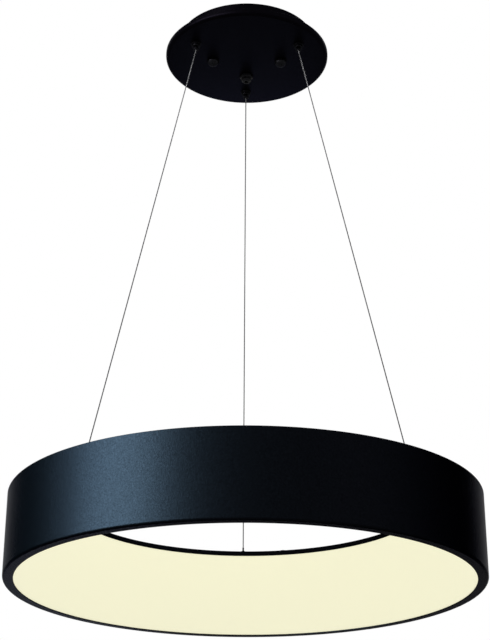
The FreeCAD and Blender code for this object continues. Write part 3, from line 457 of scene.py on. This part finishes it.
def noise(nodes, place, size, detail=2.0):
    return nodes.add("ShaderNodeTexNoise",
                     {"Vector": place, "Scale": 1 / size, "Detail": detail}).outputs[0]


def stretched(nodes, place, scale):
    """The same place with a pattern drawn out along the axes where scale is small."""
    return nodes.add("ShaderNodeMapping", {"Vector": place, "Scale": scale}).outputs[0]


def between(nodes, pattern, low_value, high_value, start=0.3, end=0.7):
    return nodes.add("ShaderNodeMapRange", {
        "Value": pattern, "From Min": start, "From Max": end, "To Min": low_value,
        "To Max": high_value}).outputs[0]


def shades(nodes, pattern, first, second):
    return nodes.add("ShaderNodeMix", {0: pattern, 6: (*first, 1), 7: (*second, 1)},
                     data_type="RGBA").outputs[2]


def relief(nodes, *layers):
    """A bumped normal from patterns, each with its depth."""
    normal = None
    for pattern, depth in layers:
        feeds = {"Height": pattern, "Distance": depth}
        if normal:
            feeds["Normal"] = normal
        normal = nodes.add("ShaderNodeBump", feeds).outputs[0]
    return normal


def powder_coat(name, colour, roughness, values):
    """Baked powder: a fine grain over a soft orange peel, with a little dust in the colour."""
    material, nodes, shader, place = new_finish(name, values)
    grain = noise(nodes, place, 1.0 * MM, 1.0)
    peel = noise(nodes, place, 2.0 * MM, 1.5)
    lighter = tuple(1.6 * part for part in colour)
    feed(nodes, shader,
         Base_Color=shades(nodes, between(nodes, peel, 0, 1, 0.28, 0.72), colour, lighter),
         Roughness=between(nodes, noise(nodes, place, 1.2 * MM), roughness - 0.05,
                           roughness + 0.07),
         Normal=relief(nodes, (peel, 0.10 * MM), (grain, 0.05 * MM)))
    return material


def black_plate(name, colour, roughness, values):
    """Blackened steel: fine turning marks with a slightly brighter rub."""
    material, nodes, shader, place = new_finish(name, values)
    marks = noise(nodes, stretched(nodes, place, (1, 1, 12)), 1.5 * MM, 3.0)
    rub = noise(nodes, place, 1.8 * MM, 3.0)
    lighter = tuple(2.4 * part for part in colour)
    feed(nodes, shader,
         Base_Color=shades(nodes, between(nodes, rub, 0, 1), colour, lighter),
         Roughness=between(nodes, rub, roughness - 0.06, roughness + 0.08),
         Normal=relief(nodes, (marks, 0.012 * MM)))
    return material


def bright_metal(name, colour, roughness, along=(1, 1, 1), size=0.8 * MM, spangle=0.0):
    """Drawn, plated or rolled metal: brush marks along one way, and spangle where galvanized."""
    material, nodes, shader, place = new_finish(name, {"Metallic": 1.0})
    marks = noise(nodes, stretched(nodes, place, along), size, 4.0)
    dull = noise(nodes, place, 6 * MM, 3.0)
    darker = tuple(0.72 * part for part in colour)
    pattern = between(nodes, dull, 0, 1)
    if spangle:
        flakes = nodes.add("ShaderNodeTexVoronoi", {"Vector": place, "Scale": 1 / spangle})
        pattern = nodes.add("ShaderNodeSeparateColor", {0: flakes.outputs["Color"]}).outputs[0]
    feed(nodes, shader,
         Base_Color=shades(nodes, pattern, darker, colour),
         Roughness=between(nodes, pattern, roughness + 0.08, roughness - 0.05, 0, 1),
         Normal=relief(nodes, (marks, 0.01 * MM)))
    return material


def moulded(name, colour, roughness, grain=0.3 * MM, depth=0.01 * MM, shine=0.4):
    """Moulded plastic, rubber or paint: an even colour with a fine texture and faint flow."""
    material, nodes, shader, place = new_finish(name, {"Specular IOR Level": shine})
    flow = noise(nodes, place, 9 * MM, 3.0)
    darker = tuple(0.86 * part for part in colour)
    feed(nodes, shader,
         Base_Color=shades(nodes, between(nodes, flow, 0, 1), darker, colour),
         Roughness=between(nodes, flow, roughness - 0.05, roughness + 0.06),
         Normal=relief(nodes, (noise(nodes, place, grain), depth)))
    return material


def opal_acrylic():
    """Lit opal sheet: an even cream glow, a little stronger towards the boards at the top; its
    base colour is painted brighter there in the same way, as painted light.
    """
    glow = (0.885, 0.865, 0.645)
    material, nodes, shader, place = new_finish("opal_acrylic", {
        "Specular IOR Level": 0.15, "Emission Strength": 0.29, "Roughness": 0.55})
    height = nodes.add("ShaderNodeSeparateXYZ", {0: place}).outputs["Z"]
    rise = between(nodes, height, 0.0, 1.0, RING_FOOT, RING_TOP)
    cloud = noise(nodes, place, 60 * MM, 2.0)
    mixed = nodes.calc("ADD", nodes.calc("MULTIPLY", rise, 0.7),
                       nodes.calc("MULTIPLY", cloud, 0.3))
    # The foot's glow and base colour, a little dimmer: the boards' light falling off downwards,
    # painted into the base colour as well as the glow, with random clouding.
    dimmer_glow = tuple(0.975 * part for part in glow)
    feed(nodes, shader,
         Base_Color=shades(nodes, mixed, dimmer_glow, glow),
         Emission_Color=shades(nodes, mixed, dimmer_glow, glow),
         Normal=relief(nodes, (noise(nodes, place, 0.4 * MM), 0.006 * MM)))
    return material


def glass_epoxy(name, colour):
    """Circuit board lacquer over a fine woven cloth."""
    material, nodes, shader, place = new_finish(name, {"Coat Weight": 0.4})
    weave = nodes.add("ShaderNodeTexChecker", {"Vector": place, "Scale": 1 / (0.5 * MM)})
    darker = tuple(0.8 * part for part in colour)
    feed(nodes, shader,
         Base_Color=shades(nodes, weave.outputs["Fac"], darker, colour),
         Roughness=between(nodes, noise(nodes, place, 3 * MM), 0.35, 0.5),
         Normal=relief(nodes, (weave.outputs["Fac"], 0.004 * MM)))
    return material


BLACK_COAT = powder_coat("black_powder_coat", (0.0016, 0.0018, 0.0025), 0.40, {
    "Metallic": 1.0, "Specular Tint": (0.34, 0.34, 0.36, 1.0)})
CANOPY_COAT = powder_coat("canopy_powder_coat", (0.0013, 0.0012, 0.0018), 0.38, {
    "Metallic": 1.0, "Specular Tint": (0.508, 0.508, 0.52, 1.0)})
BLACK_METAL = black_plate("black_plated_steel", (0.0045, 0.0046, 0.0052), 0.34, {
    "Metallic": 1.0, "Specular Tint": (0.5, 0.5, 0.52, 1.0)})
OPAL = opal_acrylic()
ROPE_STEEL = bright_metal("drawn_steel_rope", (0.15, 0.15, 0.155), 0.6, (1, 1, 0.15), 0.3 * MM)
SPRING_STEEL = bright_metal("spring_steel", (0.36, 0.37, 0.4), 0.3)
BRASS = bright_metal("turned_brass", (0.72, 0.52, 0.24), 0.28, (1, 1, 14), 1.2 * MM)
BLACK_NYLON = moulded("black_nylon", (0.005, 0.005, 0.006), 0.45, shine=0.06)
BLACK_RUBBER = moulded("black_rubber", (0.008, 0.008, 0.009), 0.68, 0.22 * MM, 0.02 * MM, 0.1)

FINISHES = {
    "black_coat": BLACK_COAT,
    "black_metal": BLACK_METAL,
    "opal": OPAL,
    "white_paint": moulded("white_stove_paint", (0.8, 0.8, 0.79), 0.5, 0.6 * MM),
    "raw_aluminium": bright_metal("rolled_aluminium", (0.78, 0.79, 0.8), 0.36, (1, 0.05, 1)),
    "board_white": moulded("white_board_lacquer", (0.84, 0.84, 0.82), 0.38, 0.5 * MM,
                           0.004 * MM),
    "phosphor": moulded("phosphor_gel", (0.86, 0.66, 0.14), 0.3, 0.2 * MM),
    "zinc": bright_metal("galvanized_steel", (0.6, 0.62, 0.64), 0.42, spangle=4 * MM),
    "wire_steel": ROPE_STEEL,
    "spring_steel": SPRING_STEEL,
    "brass": BRASS,
    "black_nylon": BLACK_NYLON,
    "black_rubber": BLACK_RUBBER,
    "white_nylon": moulded("white_nylon", (0.76, 0.75, 0.71), 0.45),
    "driver_case": moulded("white_driver_case", (0.7, 0.7, 0.69), 0.5, 0.5 * MM, 0.02 * MM),
    "circuit_green": glass_epoxy("green_circuit_board", (0.02, 0.16, 0.06)),
    "lead_white": moulded("white_lead", (0.78, 0.77, 0.74), 0.48),
    "lead_brown": moulded("brown_lead", (0.13, 0.055, 0.03), 0.48),
    "lead_green": moulded("green_yellow_lead", (0.2, 0.42, 0.05), 0.48),
}


def dress_frame():
    """Every CAD node takes the finish of its own slot."""
    for subpart in frame["record"]["subparts"]:
        mesh = frame["nodes"][subpart["node"]].data
        mesh.materials.clear()
        mesh.materials.append(FINISHES[subpart["material_slot"]])


# ---- ring shell --------------------------------------------------------------------------------

def make_ring_band():
    """The deep outer band, rounded into the narrow lip under it."""
    inner = RING_RADIUS - WALL
    lip_edge = RING_RADIUS - LIP
    band = turned("ring_band", [
        (lip_edge, RING_FOOT, SHEET_EDGE), (RING_RADIUS, RING_FOOT, LIP_ROUND),
        (RING_RADIUS, RING_TOP, SHEET_EDGE), (inner, RING_TOP, SHEET_EDGE),
        (inner, RING_FOOT + WALL, LIP_ROUND - WALL), (lip_edge, RING_FOOT + WALL, SHEET_EDGE),
    ], BLACK_COAT, RING_SEGMENTS)
    stand_for(band, "ring", "black_coat", "outer_band")


def make_ring_top():
    """The flat top with its short inner rim, drilled for screws, anchors and the lead."""
    under = RING_TOP - WALL
    rim = OPENING + WALL
    top = turned("ring_top", [
        (OPENING, RIM_FOOT, SHEET_EDGE), (rim, RIM_FOOT, SHEET_EDGE), (rim, under, SMALL_EDGE),
        (PLATE_RADIUS, under, SHEET_EDGE), (PLATE_RADIUS, RING_TOP, SHEET_EDGE),
        (OPENING, RING_TOP, WALL),
    ], BLACK_COAT, RING_SEGMENTS)
    screw_hole, anchor_hole, inlet_hole = 4.1 * MM, 3.1 * MM, 8 * MM
    holes = [(*polar(SCREW_CIRCLE, 2 * math.pi * index / SCREW_COUNT), screw_hole)
             for index in range(SCREW_COUNT)]
    holes += [(*at_wire(index, ANCHOR_CIRCLE).xy, anchor_hole) for index in range(WIRES)]
    holes.append((*polar(INLET_CIRCLE, INLET_ANGLE), inlet_hole))
    stand_for(drilled(top, holes), "ring", "black_coat", "top_plate")


def make_top_screws():
    """Pan-head screws with a cross recess, eight round the ring's top."""
    head, height, shank, length = 3.7 * MM, 2.2 * MM, 2 * MM, 8 * MM
    screw = turned("top_screws", [
        (0, -length, 0), (shank, -length, 0.6 * MM), (shank, 0, 0), (head, 0, 0.25 * MM),
        (head, 0.55 * height, 1.1 * MM), (0.45 * head, height, 2 * MM), (0, height, 0),
    ], BLACK_METAL, 32)
    recess(screw, height, depth=1.25 * MM, reach=2.15 * MM, width=0.75 * MM)
    moved(screw, (0, 0, RING_TOP))
    round_the_ring(screw, BLACK_METAL, SCREW_COUNT, SCREW_CIRCLE)
    stand_for(screw, "ring", "black_metal", "plate_screws")


def recess(screw, top, depth, reach, width):
    """Cut a tapered cross into a screw's head."""
    taper = 0.35                   # length of a slot at its floor for a length of 1 at its top
    builder = bmesh.new()
    for angle in (0, math.pi / 2):
        made = bmesh.ops.create_cube(builder, size=1)["verts"]
        for vertex in made:
            spread = 1.0 if vertex.co.z > 0 else taper
            vertex.co = Vector((vertex.co.x * 2 * reach * spread, vertex.co.y * width,
                                top + (depth if vertex.co.z > 0 else -depth)))
        bmesh.ops.rotate(builder, verts=made, matrix=Matrix.Rotation(angle, 3, "Z"))
    cut_with(screw, builder, self_crossing=True)


def make_anchors():
    """The wires' crimped ends on the ring: collar, sleeve with a pressed waist, and stud."""
    collar, sleeve, shank, pressed = 3 * MM, 1.3 * MM, 1.5 * MM, 1.12 * MM
    floor = low("anchor_studs").z
    top = high("anchor_studs").z
    shoulder = RING_TOP + 1 * MM
    anchor = turned("wire_anchors", [
        (0, floor, 0), (shank, floor, 0.4 * MM), (shank, RING_TOP, FINE_EDGE),
        (collar, RING_TOP, SMALL_EDGE), (collar, shoulder, 0.35 * MM),
        (sleeve, shoulder, 0.3 * MM), (sleeve, shoulder + 1.2 * MM, 0), (sleeve, top - 1 * MM, 0),
        (sleeve, top, 0.3 * MM), (0, top, 0),
    ], BLACK_METAL, 48, {"Flats": pressed, "Shape from": shoulder + 1.1 * MM,
                         "Shape to": top - 0.9 * MM})
    round_the_ring(anchor, BLACK_METAL, WIRES, ANCHOR_CIRCLE, FIRST_WIRE)
    stand_for(anchor, "ring", "black_metal", "anchor_studs")


def make_inlet_grommet():
    """A rubber grommet with two soft lips, in the hole for the lead."""
    floor = low("inlet_grommet").z
    top = high("inlet_grommet").z
    under = RING_TOP - WALL
    bore, waist, flange = 2.5 * MM, 3.95 * MM, 5.2 * MM
    inner_round, outer_round = 0.4 * MM, 0.55 * MM
    grommet = turned("inlet_grommet_rubber", [
        (bore, floor, inner_round), (flange, floor, outer_round), (flange, under, SMALL_EDGE),
        (waist, under, SMALL_EDGE), (waist, RING_TOP, SMALL_EDGE),
        (flange, RING_TOP, SMALL_EDGE), (flange, top, outer_round), (bore, top, inner_round),
    ], BLACK_RUBBER, 64)
    moved(grommet, (*polar(INLET_CIRCLE, INLET_ANGLE), 0))
    stand_for(grommet, "ring", "black_rubber", "inlet_grommet")


def make_opal_cone():
    """The lit cone, wider downwards, with a flat foot on the lip."""
    sheet, edge, bend = 2 * MM, 0.3 * MM, 1.5 * MM
    foot = RING_FOOT + WALL
    top = high("diffuser").z
    foot_inner = RING_RADIUS - LIP + 0.5 * MM
    top_inner = OPENING + 0.6 * MM
    spread = foot_inner - top_inner
    height = top - foot
    wall = sheet * math.hypot(spread, height) / height
    cone = turned("opal_cone", [
        (foot_inner, foot, edge), (high("diffuser").x, foot, edge),
        (high("diffuser").x, foot + sheet, edge),
        (foot_inner + wall - sheet * spread / height, foot + sheet, bend),
        (top_inner + wall, top, edge), (top_inner, top, edge),
    ], OPAL, RING_SEGMENTS)
    stand_for(cone, "ring", "opal", "diffuser")


# ---- canopy ------------------------------------------------------------------------------------

def make_canopy_drum():
    """The narrow drum against the ceiling, open at the top, with a flange at its foot."""
    inner = DRUM_RADIUS - WALL
    mouth = inner - DRUM_LIP
    floor = low("canopy_drum").z
    drum = turned("canopy_drum_shell", [
        (mouth, floor, SMALL_EDGE), (DRUM_RADIUS, floor, 1 * MM),
        (DRUM_RADIUS, 0, SHEET_EDGE), (inner, 0, SHEET_EDGE), (inner, floor + WALL, 0.5 * MM),
        (mouth, floor + WALL, SMALL_EDGE),
    ], CANOPY_COAT, CANOPY_SEGMENTS)
    stand_for(drum, "canopy", "black_coat", "canopy_drum")


def make_canopy_top_ring():
    """The flat annulus that closes the pan, with a skirt that stands on its floor."""
    sheet = 1.5 * MM
    mouth = DRUM_RADIUS - WALL - DRUM_LIP
    outer = high("canopy_top_ring").x
    skirt = PAN_RADIUS - 5 * MM
    floor = low("canopy_top_ring").z
    under = PAN_RIM - sheet
    cover = turned("canopy_cover_ring", [
        (mouth, under, SMALL_EDGE), (skirt - sheet, under, SMALL_EDGE),
        (skirt - sheet, floor, SMALL_EDGE), (skirt, floor, SMALL_EDGE),
        (skirt, under, SMALL_EDGE), (outer, under, SMALL_EDGE), (outer, PAN_RIM, SHEET_EDGE),
        (mouth, PAN_RIM, SMALL_EDGE),
    ], CANOPY_COAT, CANOPY_SEGMENTS)
    stand_for(cover, "canopy", "black_coat", "canopy_top_ring")


def make_canopy_pan():
    """The shallow pan with its softly rounded lower edge, drilled for what hangs in it."""
    sheet = 1.5 * MM
    edge = 5 * MM
    inner = PAN_RADIUS - sheet
    floor = PAN_FOOT + sheet
    middle = 60 * MM
    pan = turned("canopy_pan_shell", [
        (0, PAN_FOOT, 0), (middle, PAN_FOOT, 0), (PAN_RADIUS, PAN_FOOT, edge),
        (PAN_RADIUS, PAN_RIM, SHEET_EDGE), (inner, PAN_RIM, SHEET_EDGE),
        (inner, floor, edge - sheet), (middle, floor, 0), (0, floor, 0),
    ], CANOPY_COAT, CANOPY_SEGMENTS)
    gripper_hole, hanger_hole, gland_hole = 10.1 * MM, 5.1 * MM, 12.1 * MM
    holes = [(*at_wire(index, EXIT_CIRCLE).xy, gripper_hole) for index in range(WIRES)]
    holes += [(side * HANGER_X, 0, hanger_hole) for side in (-1, 1)]
    holes.append((0, GLAND_Y, gland_hole))
    stand_for(drilled(pan, holes), "canopy", "black_coat", "canopy_pan")


def make_cap_nuts():
    """Blind nuts with a smooth dome and a knurled rim, on the two hangers."""
    radius, bore, well, height = 8.5 * MM, 2.55 * MM, 5.3 * MM, 8.5 * MM
    crown, shoulder, shoulder_foot = 3.5 * MM, 7.3 * MM, -5.3 * MM
    knurl = {"Ribs": 40.0, "Rib depth": 0.3 * MM, "Shape from": -2.3 * MM,
             "Shape to": -0.25 * MM, "Shape outside": 0.9 * radius}
    for side, name in ((-1, "left"), (1, "right")):
        nut = turned(f"domed_nut_{name}", [
            (0, -height, 0), (crown, -height, 6.5 * MM), (shoulder, shoulder_foot, 8 * MM),
            (radius, -2.5 * MM, 2 * MM), (radius, -1.2 * MM, 0), (radius, 0, 0.3 * MM),
            (bore, 0, SMALL_EDGE), (bore, -well, 0), (0, -well, 0),
        ], BLACK_METAL, 240, knurl)
        moved(nut, (side * HANGER_X, 0, PAN_FOOT))
        stand_for(nut, "canopy", "black_metal", f"cap_nut_{name}")


def make_gland():
    """Cord gland beside the rear wire: chamfered hexagon, threaded sleeve and ribbed nose."""
    bore, across, thread = 3 * MM, 17 * MM, 6 * MM
    hexagon_foot = PAN_FOOT - 4 * MM
    corner = across / math.sqrt(3)
    lower_face, upper_face = 0.93 * across / 2, 0.96 * across / 2
    body = turned("gland_hexagon", [
        (bore, hexagon_foot, SMALL_EDGE), (lower_face, hexagon_foot, FINE_EDGE),
        (corner, hexagon_foot + 0.8 * MM, FINE_EDGE), (corner, PAN_FOOT - 0.4 * MM, FINE_EDGE),
        (upper_face, PAN_FOOT, FINE_EDGE), (thread, PAN_FOOT, 0),
        (thread, high("gland_body").z, 0.5 * MM), (bore, high("gland_body").z, 0.5 * MM),
    ], BLACK_NYLON, 192, {"Flats": across / 2, "Shape from": hexagon_foot - MM,
                          "Shape to": PAN_FOOT + MM})
    moved(body, (0, GLAND_Y, 0))
    stand_for(body, "canopy", "black_nylon", "gland_body")
    tip, nose, radius = 4.9 * MM, hexagon_foot - 6 * MM, 7 * MM
    dome = turned("gland_nose_cap", [
        (bore, nose, 0.6 * MM), (tip, nose, 0.9 * MM), (radius, nose + 2.4 * MM, 1.2 * MM),
        (radius, nose + 3.2 * MM, 0), (radius, hexagon_foot - 0.5 * MM, 0),
        (radius, hexagon_foot, SMALL_EDGE), (bore, hexagon_foot, SMALL_EDGE),
    ], BLACK_NYLON, 288, {"Ribs": 24.0, "Rib depth": 0.7 * MM, "Shape from": nose + 3 * MM,
                          "Shape to": hexagon_foot - 0.3 * MM, "Shape outside": 0.8 * radius})
    moved(dome, (0, GLAND_Y, 0))
    stand_for(dome, "canopy", "black_nylon", "gland_nose")


# ---- grippers and wires ------------------------------------------------------------------------

def make_gripper(index):
    """One gripper: its flanged barrel, the knurled push collar and the jaw spring."""
    spot = at_wire(index, EXIT_CIRCLE)
    spot.z = PAN_FOOT
    number = index + 1
    mouth, chamber, thread, barrel_radius, flange = 2.55 * MM, 3.5 * MM, 5 * MM, 6 * MM, 7.5 * MM
    foot, chamber_foot, flange_foot, head = -5 * MM, -3 * MM, -1.2 * MM, 13 * MM
    barrel = turned(f"gripper_{number}_barrel", [
        (mouth, foot, SMALL_EDGE), (barrel_radius, foot, 0.7 * MM),
        (barrel_radius, flange_foot, SMALL_EDGE), (flange, flange_foot, 0.3 * MM),
        (flange, 0, FINE_EDGE), (thread, 0, FINE_EDGE), (thread, head, 0.4 * MM),
        (chamber, head, SMALL_EDGE), (chamber, chamber_foot, FINE_EDGE),
        (mouth, chamber_foot, FINE_EDGE),
    ], BLACK_METAL, 128)
    stand_for(moved(barrel, spot), "canopy", "black_metal", f"gripper_barrel_{number}")
    bore, neck, shoulder, knob = 1.1 * MM, 2.5 * MM, 3.4 * MM, 4.2 * MM
    knob_foot, knob_top, shoulder_foot, top = -10 * MM, -7.6 * MM, -2.95 * MM, -1.95 * MM
    collar = turned(f"gripper_{number}_collar", [
        (bore, knob_foot, 0.4 * MM), (knob, knob_foot, 0.5 * MM),
        (knob, -9.3 * MM, 0), (knob, -8.2 * MM, 0),
        (knob, knob_top, 0.4 * MM), (neck, knob_top, 0.15 * MM),
        (neck, shoulder_foot, FINE_EDGE), (shoulder, shoulder_foot, FINE_EDGE),
        (shoulder, top, SMALL_EDGE), (bore, top, SMALL_EDGE),
    ], BLACK_METAL, 240, {"Ribs": 30.0, "Rib depth": 0.22 * MM, "Shape from": -9.45 * MM,
                          "Shape to": -8.05 * MM, "Shape outside": 3.6 * MM})
    stand_for(moved(collar, spot), f"collar_{number}", "black_metal",
              f"release_collar_{number}")
    make_spring(index, spot)


def make_spring(index, spot):
    """The coil spring of a gripper, which the real collar presses together as it goes up; here it
    is made at its rest length.
    """
    node = f"gripper_spring_{index + 1}"
    floor, roof = low(node).z, high(node).z
    thickness = 0.3 * MM
    mesh = bpy.data.meshes.new("spring")
    mesh.from_pydata([(0, 0, 0)], [], [])
    spring = grow(new_object(f"gripper_{index + 1}_spring", mesh), COIL, SPRING_STEEL, {
        "Turns": 7.0, "Coil radius": 2.6 * MM, "Coil height": roof - floor - 2 * thickness,
        "Wire thickness": thickness})
    moved(spring, (spot.x, spot.y, floor + thickness))
    stand_for(spring, "canopy", "spring_steel", node)
    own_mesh(spring)


def make_wire(index):
    """A stranded steel wire, taut from its gripper's collar down to its anchor.

    It starts inside the collar, so that no gap shows when the collar is pushed up.
    """
    tucked, seated = 0.36 * MM, 0.25 * MM
    start = at_wire(index, EXIT_CIRCLE) + Vector((0, 0, WIRE_TOP))
    end = at_wire(index, ANCHOR_CIRCLE) + Vector((0, 0, WIRE_FOOT))
    diameter = 1.5 * MM
    near_end = 6 * diameter
    along = (end - start).normalized()
    start -= along * tucked
    end += along * seated
    points = [start, start + along * near_end, end - along * near_end, end]
    route = bpy.data.curves.new("route", "CURVE")
    route.dimensions = "3D"
    spline = route.splines.new("NURBS")
    spline.points.add(len(points) - 1)
    for place, point in zip(spline.points, points):
        place.co = (*point, 1)
    spline.order_u = 3
    spline.use_endpoint_u = True
    line = new_object("route", route)
    path = bpy.data.meshes.new_from_object(line)
    bpy.data.objects.remove(line)
    wire = grow(new_object(f"steel_wire_{index + 1}", path), ROPE, ROPE_STEEL, {
        "Strands": 12, "Wire radius": diameter / 2, "Lay length": 16 * MM, "Steps": 600,
        "Sides": 5})
    stand_for(wire, "canopy", "wire_steel", f"suspension_wire_{index + 1}")
    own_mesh(wire)


# ---- studio ------------------------------------------------------------------------------------

FLOOR = -4.2                       # height of the floor, with the ceiling at 0
FLOOR_RADIUS = 12
FADE_FROM, FADE_TO = 1.5, 5.5      # distances over which the floor turns white
ROOM_LIGHT = 0.78                  # strength of the white surroundings as a light
FLOOR_COLOUR = (0.86, 0.86, 0.86, 1)
RING_MIDDLE = (0, 0, -0.75)
LAMP_MIDDLE = (0, 0, -0.5)
CANOPY_MIDDLE = (0, 0, 0)
PAN_REAR = (0, 0.1, -0.03)
FRONT_WIRE_TOPS = (0, -0.042, -0.06)


def make_world():
    """White surroundings, which light the lamp less strongly than they look."""
    world = bpy.data.worlds.new("studio")
    world.use_nodes = True
    bpy.context.scene.world = world
    nodes = Nodes(world.node_tree)
    background = world.node_tree.nodes["Background"]
    rays = nodes.add("ShaderNodeLightPath").outputs
    seen = nodes.calc("MAXIMUM", rays["Is Camera Ray"], nodes.calc(
        "MAXIMUM", rays["Is Glossy Ray"], rays["Is Transmission Ray"]))
    world.node_tree.links.new(between(nodes, seen, ROOM_LIGHT, 1.0, 0, 1),
                              background.inputs["Strength"])
    background.inputs["Color"].default_value = (1, 1, 1, 1)


def make_floor():
    """A pale floor that fades to white with distance."""
    builder = bmesh.new()
    bmesh.ops.create_circle(builder, cap_ends=True, segments=96, radius=FLOOR_RADIUS,
                            matrix=Matrix.Translation((0, 0, FLOOR)))
    mesh = bpy.data.meshes.new("floor")
    builder.to_mesh(mesh)
    builder.free()
    floor = new_object("floor", mesh)
    material = bpy.data.materials.new("pale_floor")
    material.use_nodes = True
    nodes = Nodes(material.node_tree)
    shader = material.node_tree.nodes["Principled BSDF"]
    shader.inputs["Base Color"].default_value = FLOOR_COLOUR
    shader.inputs["Roughness"].default_value = 0.9
    shader.inputs["Specular IOR Level"].default_value = 0.1
    place = nodes.add("ShaderNodeTexCoord").outputs["Object"]
    flat = nodes.add("ShaderNodeVectorMath", {0: place, 1: (0, 0, FLOOR)},
                     operation="SUBTRACT").outputs[0]
    away = nodes.add("ShaderNodeVectorMath", {0: flat}, operation="LENGTH").outputs["Value"]
    rays = nodes.add("ShaderNodeLightPath").outputs
    fade = nodes.calc("MULTIPLY", between(nodes, away, 0, 1, FADE_FROM, FADE_TO),
                      rays["Is Camera Ray"])
    white = nodes.add("ShaderNodeEmission", {"Strength": 1.0}).outputs[0]
    mixed = nodes.add("ShaderNodeMixShader", {0: fade, 1: shader.outputs[0], 2: white})
    output = material.node_tree.nodes["Material Output"]
    material.node_tree.links.new(mixed.outputs[0], output.inputs["Surface"])
    mesh.materials.append(material)


def make_softbox(name, azimuth, rise, distance, width, height, radiance, colour=(1, 1, 1),
                 aim=LAMP_MIDDLE, sheen_on=(), unshaded=False):
    """An area light that looks at aim from this azimuth and rise, with this brightness.

    With sheen_on it only adds gloss, and only to those pieces. Unshaded, it passes the others.
    """
    light = bpy.data.lights.new(name, "AREA")
    light.shape = "RECTANGLE"
    light.size = width
    light.size_y = height
    light.energy = radiance * math.pi * width * height
    light.color = colour
    lamp = bpy.data.objects.new(name, light)
    bpy.context.scene.collection.objects.link(lamp)
    turn, tilt = math.radians(azimuth), math.radians(rise)
    away = Vector((math.cos(turn) * math.cos(tilt), math.sin(turn) * math.cos(tilt),
                   math.sin(tilt)))
    lamp.location = Vector(aim) + away * distance
    lamp.rotation_euler = away.to_track_quat("Z", "Y").to_euler()
    lamp.visible_camera = False
    lamp.visible_diffuse = not sheen_on
    if sheen_on:
        lit = bpy.data.collections.new(f"{name}_pieces")
        for piece in sheen_on:
            lit.objects.link(piece)
        lamp.light_linking.receiver_collection = lit
        if unshaded:
            lamp.light_linking.blocker_collection = lit


def make_camera():
    """The photograph's view: from in front of the lamp and below it, looking up."""
    stand, distance, height = math.radians(269.17), 1.8498, -1.2534
    front, aside = math.radians(270), math.radians(0.047)
    turn = stand - front + aside
    pitch, roll = math.radians(90 + 23.71), math.radians(0.168)
    camera = bpy.data.cameras.new("camera")
    camera.sensor_width = 36
    camera.lens = 84.74
    camera.clip_end = 100
    viewer = bpy.data.objects.new("camera", camera)
    bpy.context.scene.collection.objects.link(viewer)
    viewer.matrix_world = (
        Matrix.Translation((math.cos(stand) * distance, math.sin(stand) * distance, height))
        @ Matrix.Rotation(turn, 4, "Z") @ Matrix.Rotation(pitch, 4, "X")
        @ Matrix.Rotation(roll, 4, "Z"))
    bpy.context.scene.camera = viewer


def make_studio():
    """The surroundings, the floor and the lamps. It comes after the pieces it lights."""
    ring, wires, pan, canopy = ([bpy.data.objects[name] for name in names] for names in (
        ("ring_band",), ("steel_wire_1", "steel_wire_2", "steel_wire_3"), ("canopy_pan_shell",),
        ("canopy_drum_shell", "canopy_cover_ring", "canopy_pan_shell", "domed_nut_left",
         "domed_nut_right", "gland_hexagon", "gland_nose_cap", "gripper_1_barrel",
         "gripper_2_barrel", "gripper_3_barrel", "gripper_1_collar", "gripper_2_collar",
         "gripper_3_collar")))
    bpy.context.scene.view_settings.view_transform = "Standard"
    make_world()
    make_floor()
    make_softbox("key", azimuth=225, rise=40, distance=3.2, width=1.6, height=1.6,
                 radiance=1.2)
    make_softbox("fill", azimuth=320, rise=15, distance=3.4, width=2.0, height=2.0,
                 radiance=0.5)
    make_softbox("band_sheen", azimuth=211.8, rise=19, distance=2.0, width=1.2, height=1.5,
                 radiance=78, colour=(0.66, 0.98, 1.02), aim=RING_MIDDLE, sheen_on=ring)
    make_softbox("lip_sheen", azimuth=108, rise=-20, distance=2.2, width=1.0, height=1.0,
                 radiance=2, colour=(0.85, 0.95, 1.0), aim=RING_MIDDLE, sheen_on=ring)
    make_softbox("canopy_sheen", azimuth=222, rise=4, distance=2.0, width=1.6, height=0.8,
                 radiance=14, colour=(1.0, 0.92, 1.0), aim=CANOPY_MIDDLE, sheen_on=canopy)
    make_softbox("pan_sheen", azimuth=90, rise=-20, distance=0.2, width=0.24, height=0.06,
                 radiance=5, colour=(0.85, 1.0, 1.0), aim=PAN_REAR, sheen_on=pan)
    make_softbox("wire_sheen", azimuth=270, rise=46, distance=0.3, width=0.24, height=0.14,
                 radiance=16, aim=FRONT_WIRE_TOPS, sheen_on=wires, unshaded=True)


make_camera()
dress_frame()
for wire_index in range(WIRES):
    make_wire(wire_index)
    make_gripper(wire_index)
make_ring_band()
make_ring_top()
make_top_screws()
make_anchors()
make_inlet_grommet()
make_opal_cone()
make_canopy_drum()
make_canopy_top_ring()
make_canopy_pan()
make_cap_nuts()
make_gland()
make_studio()
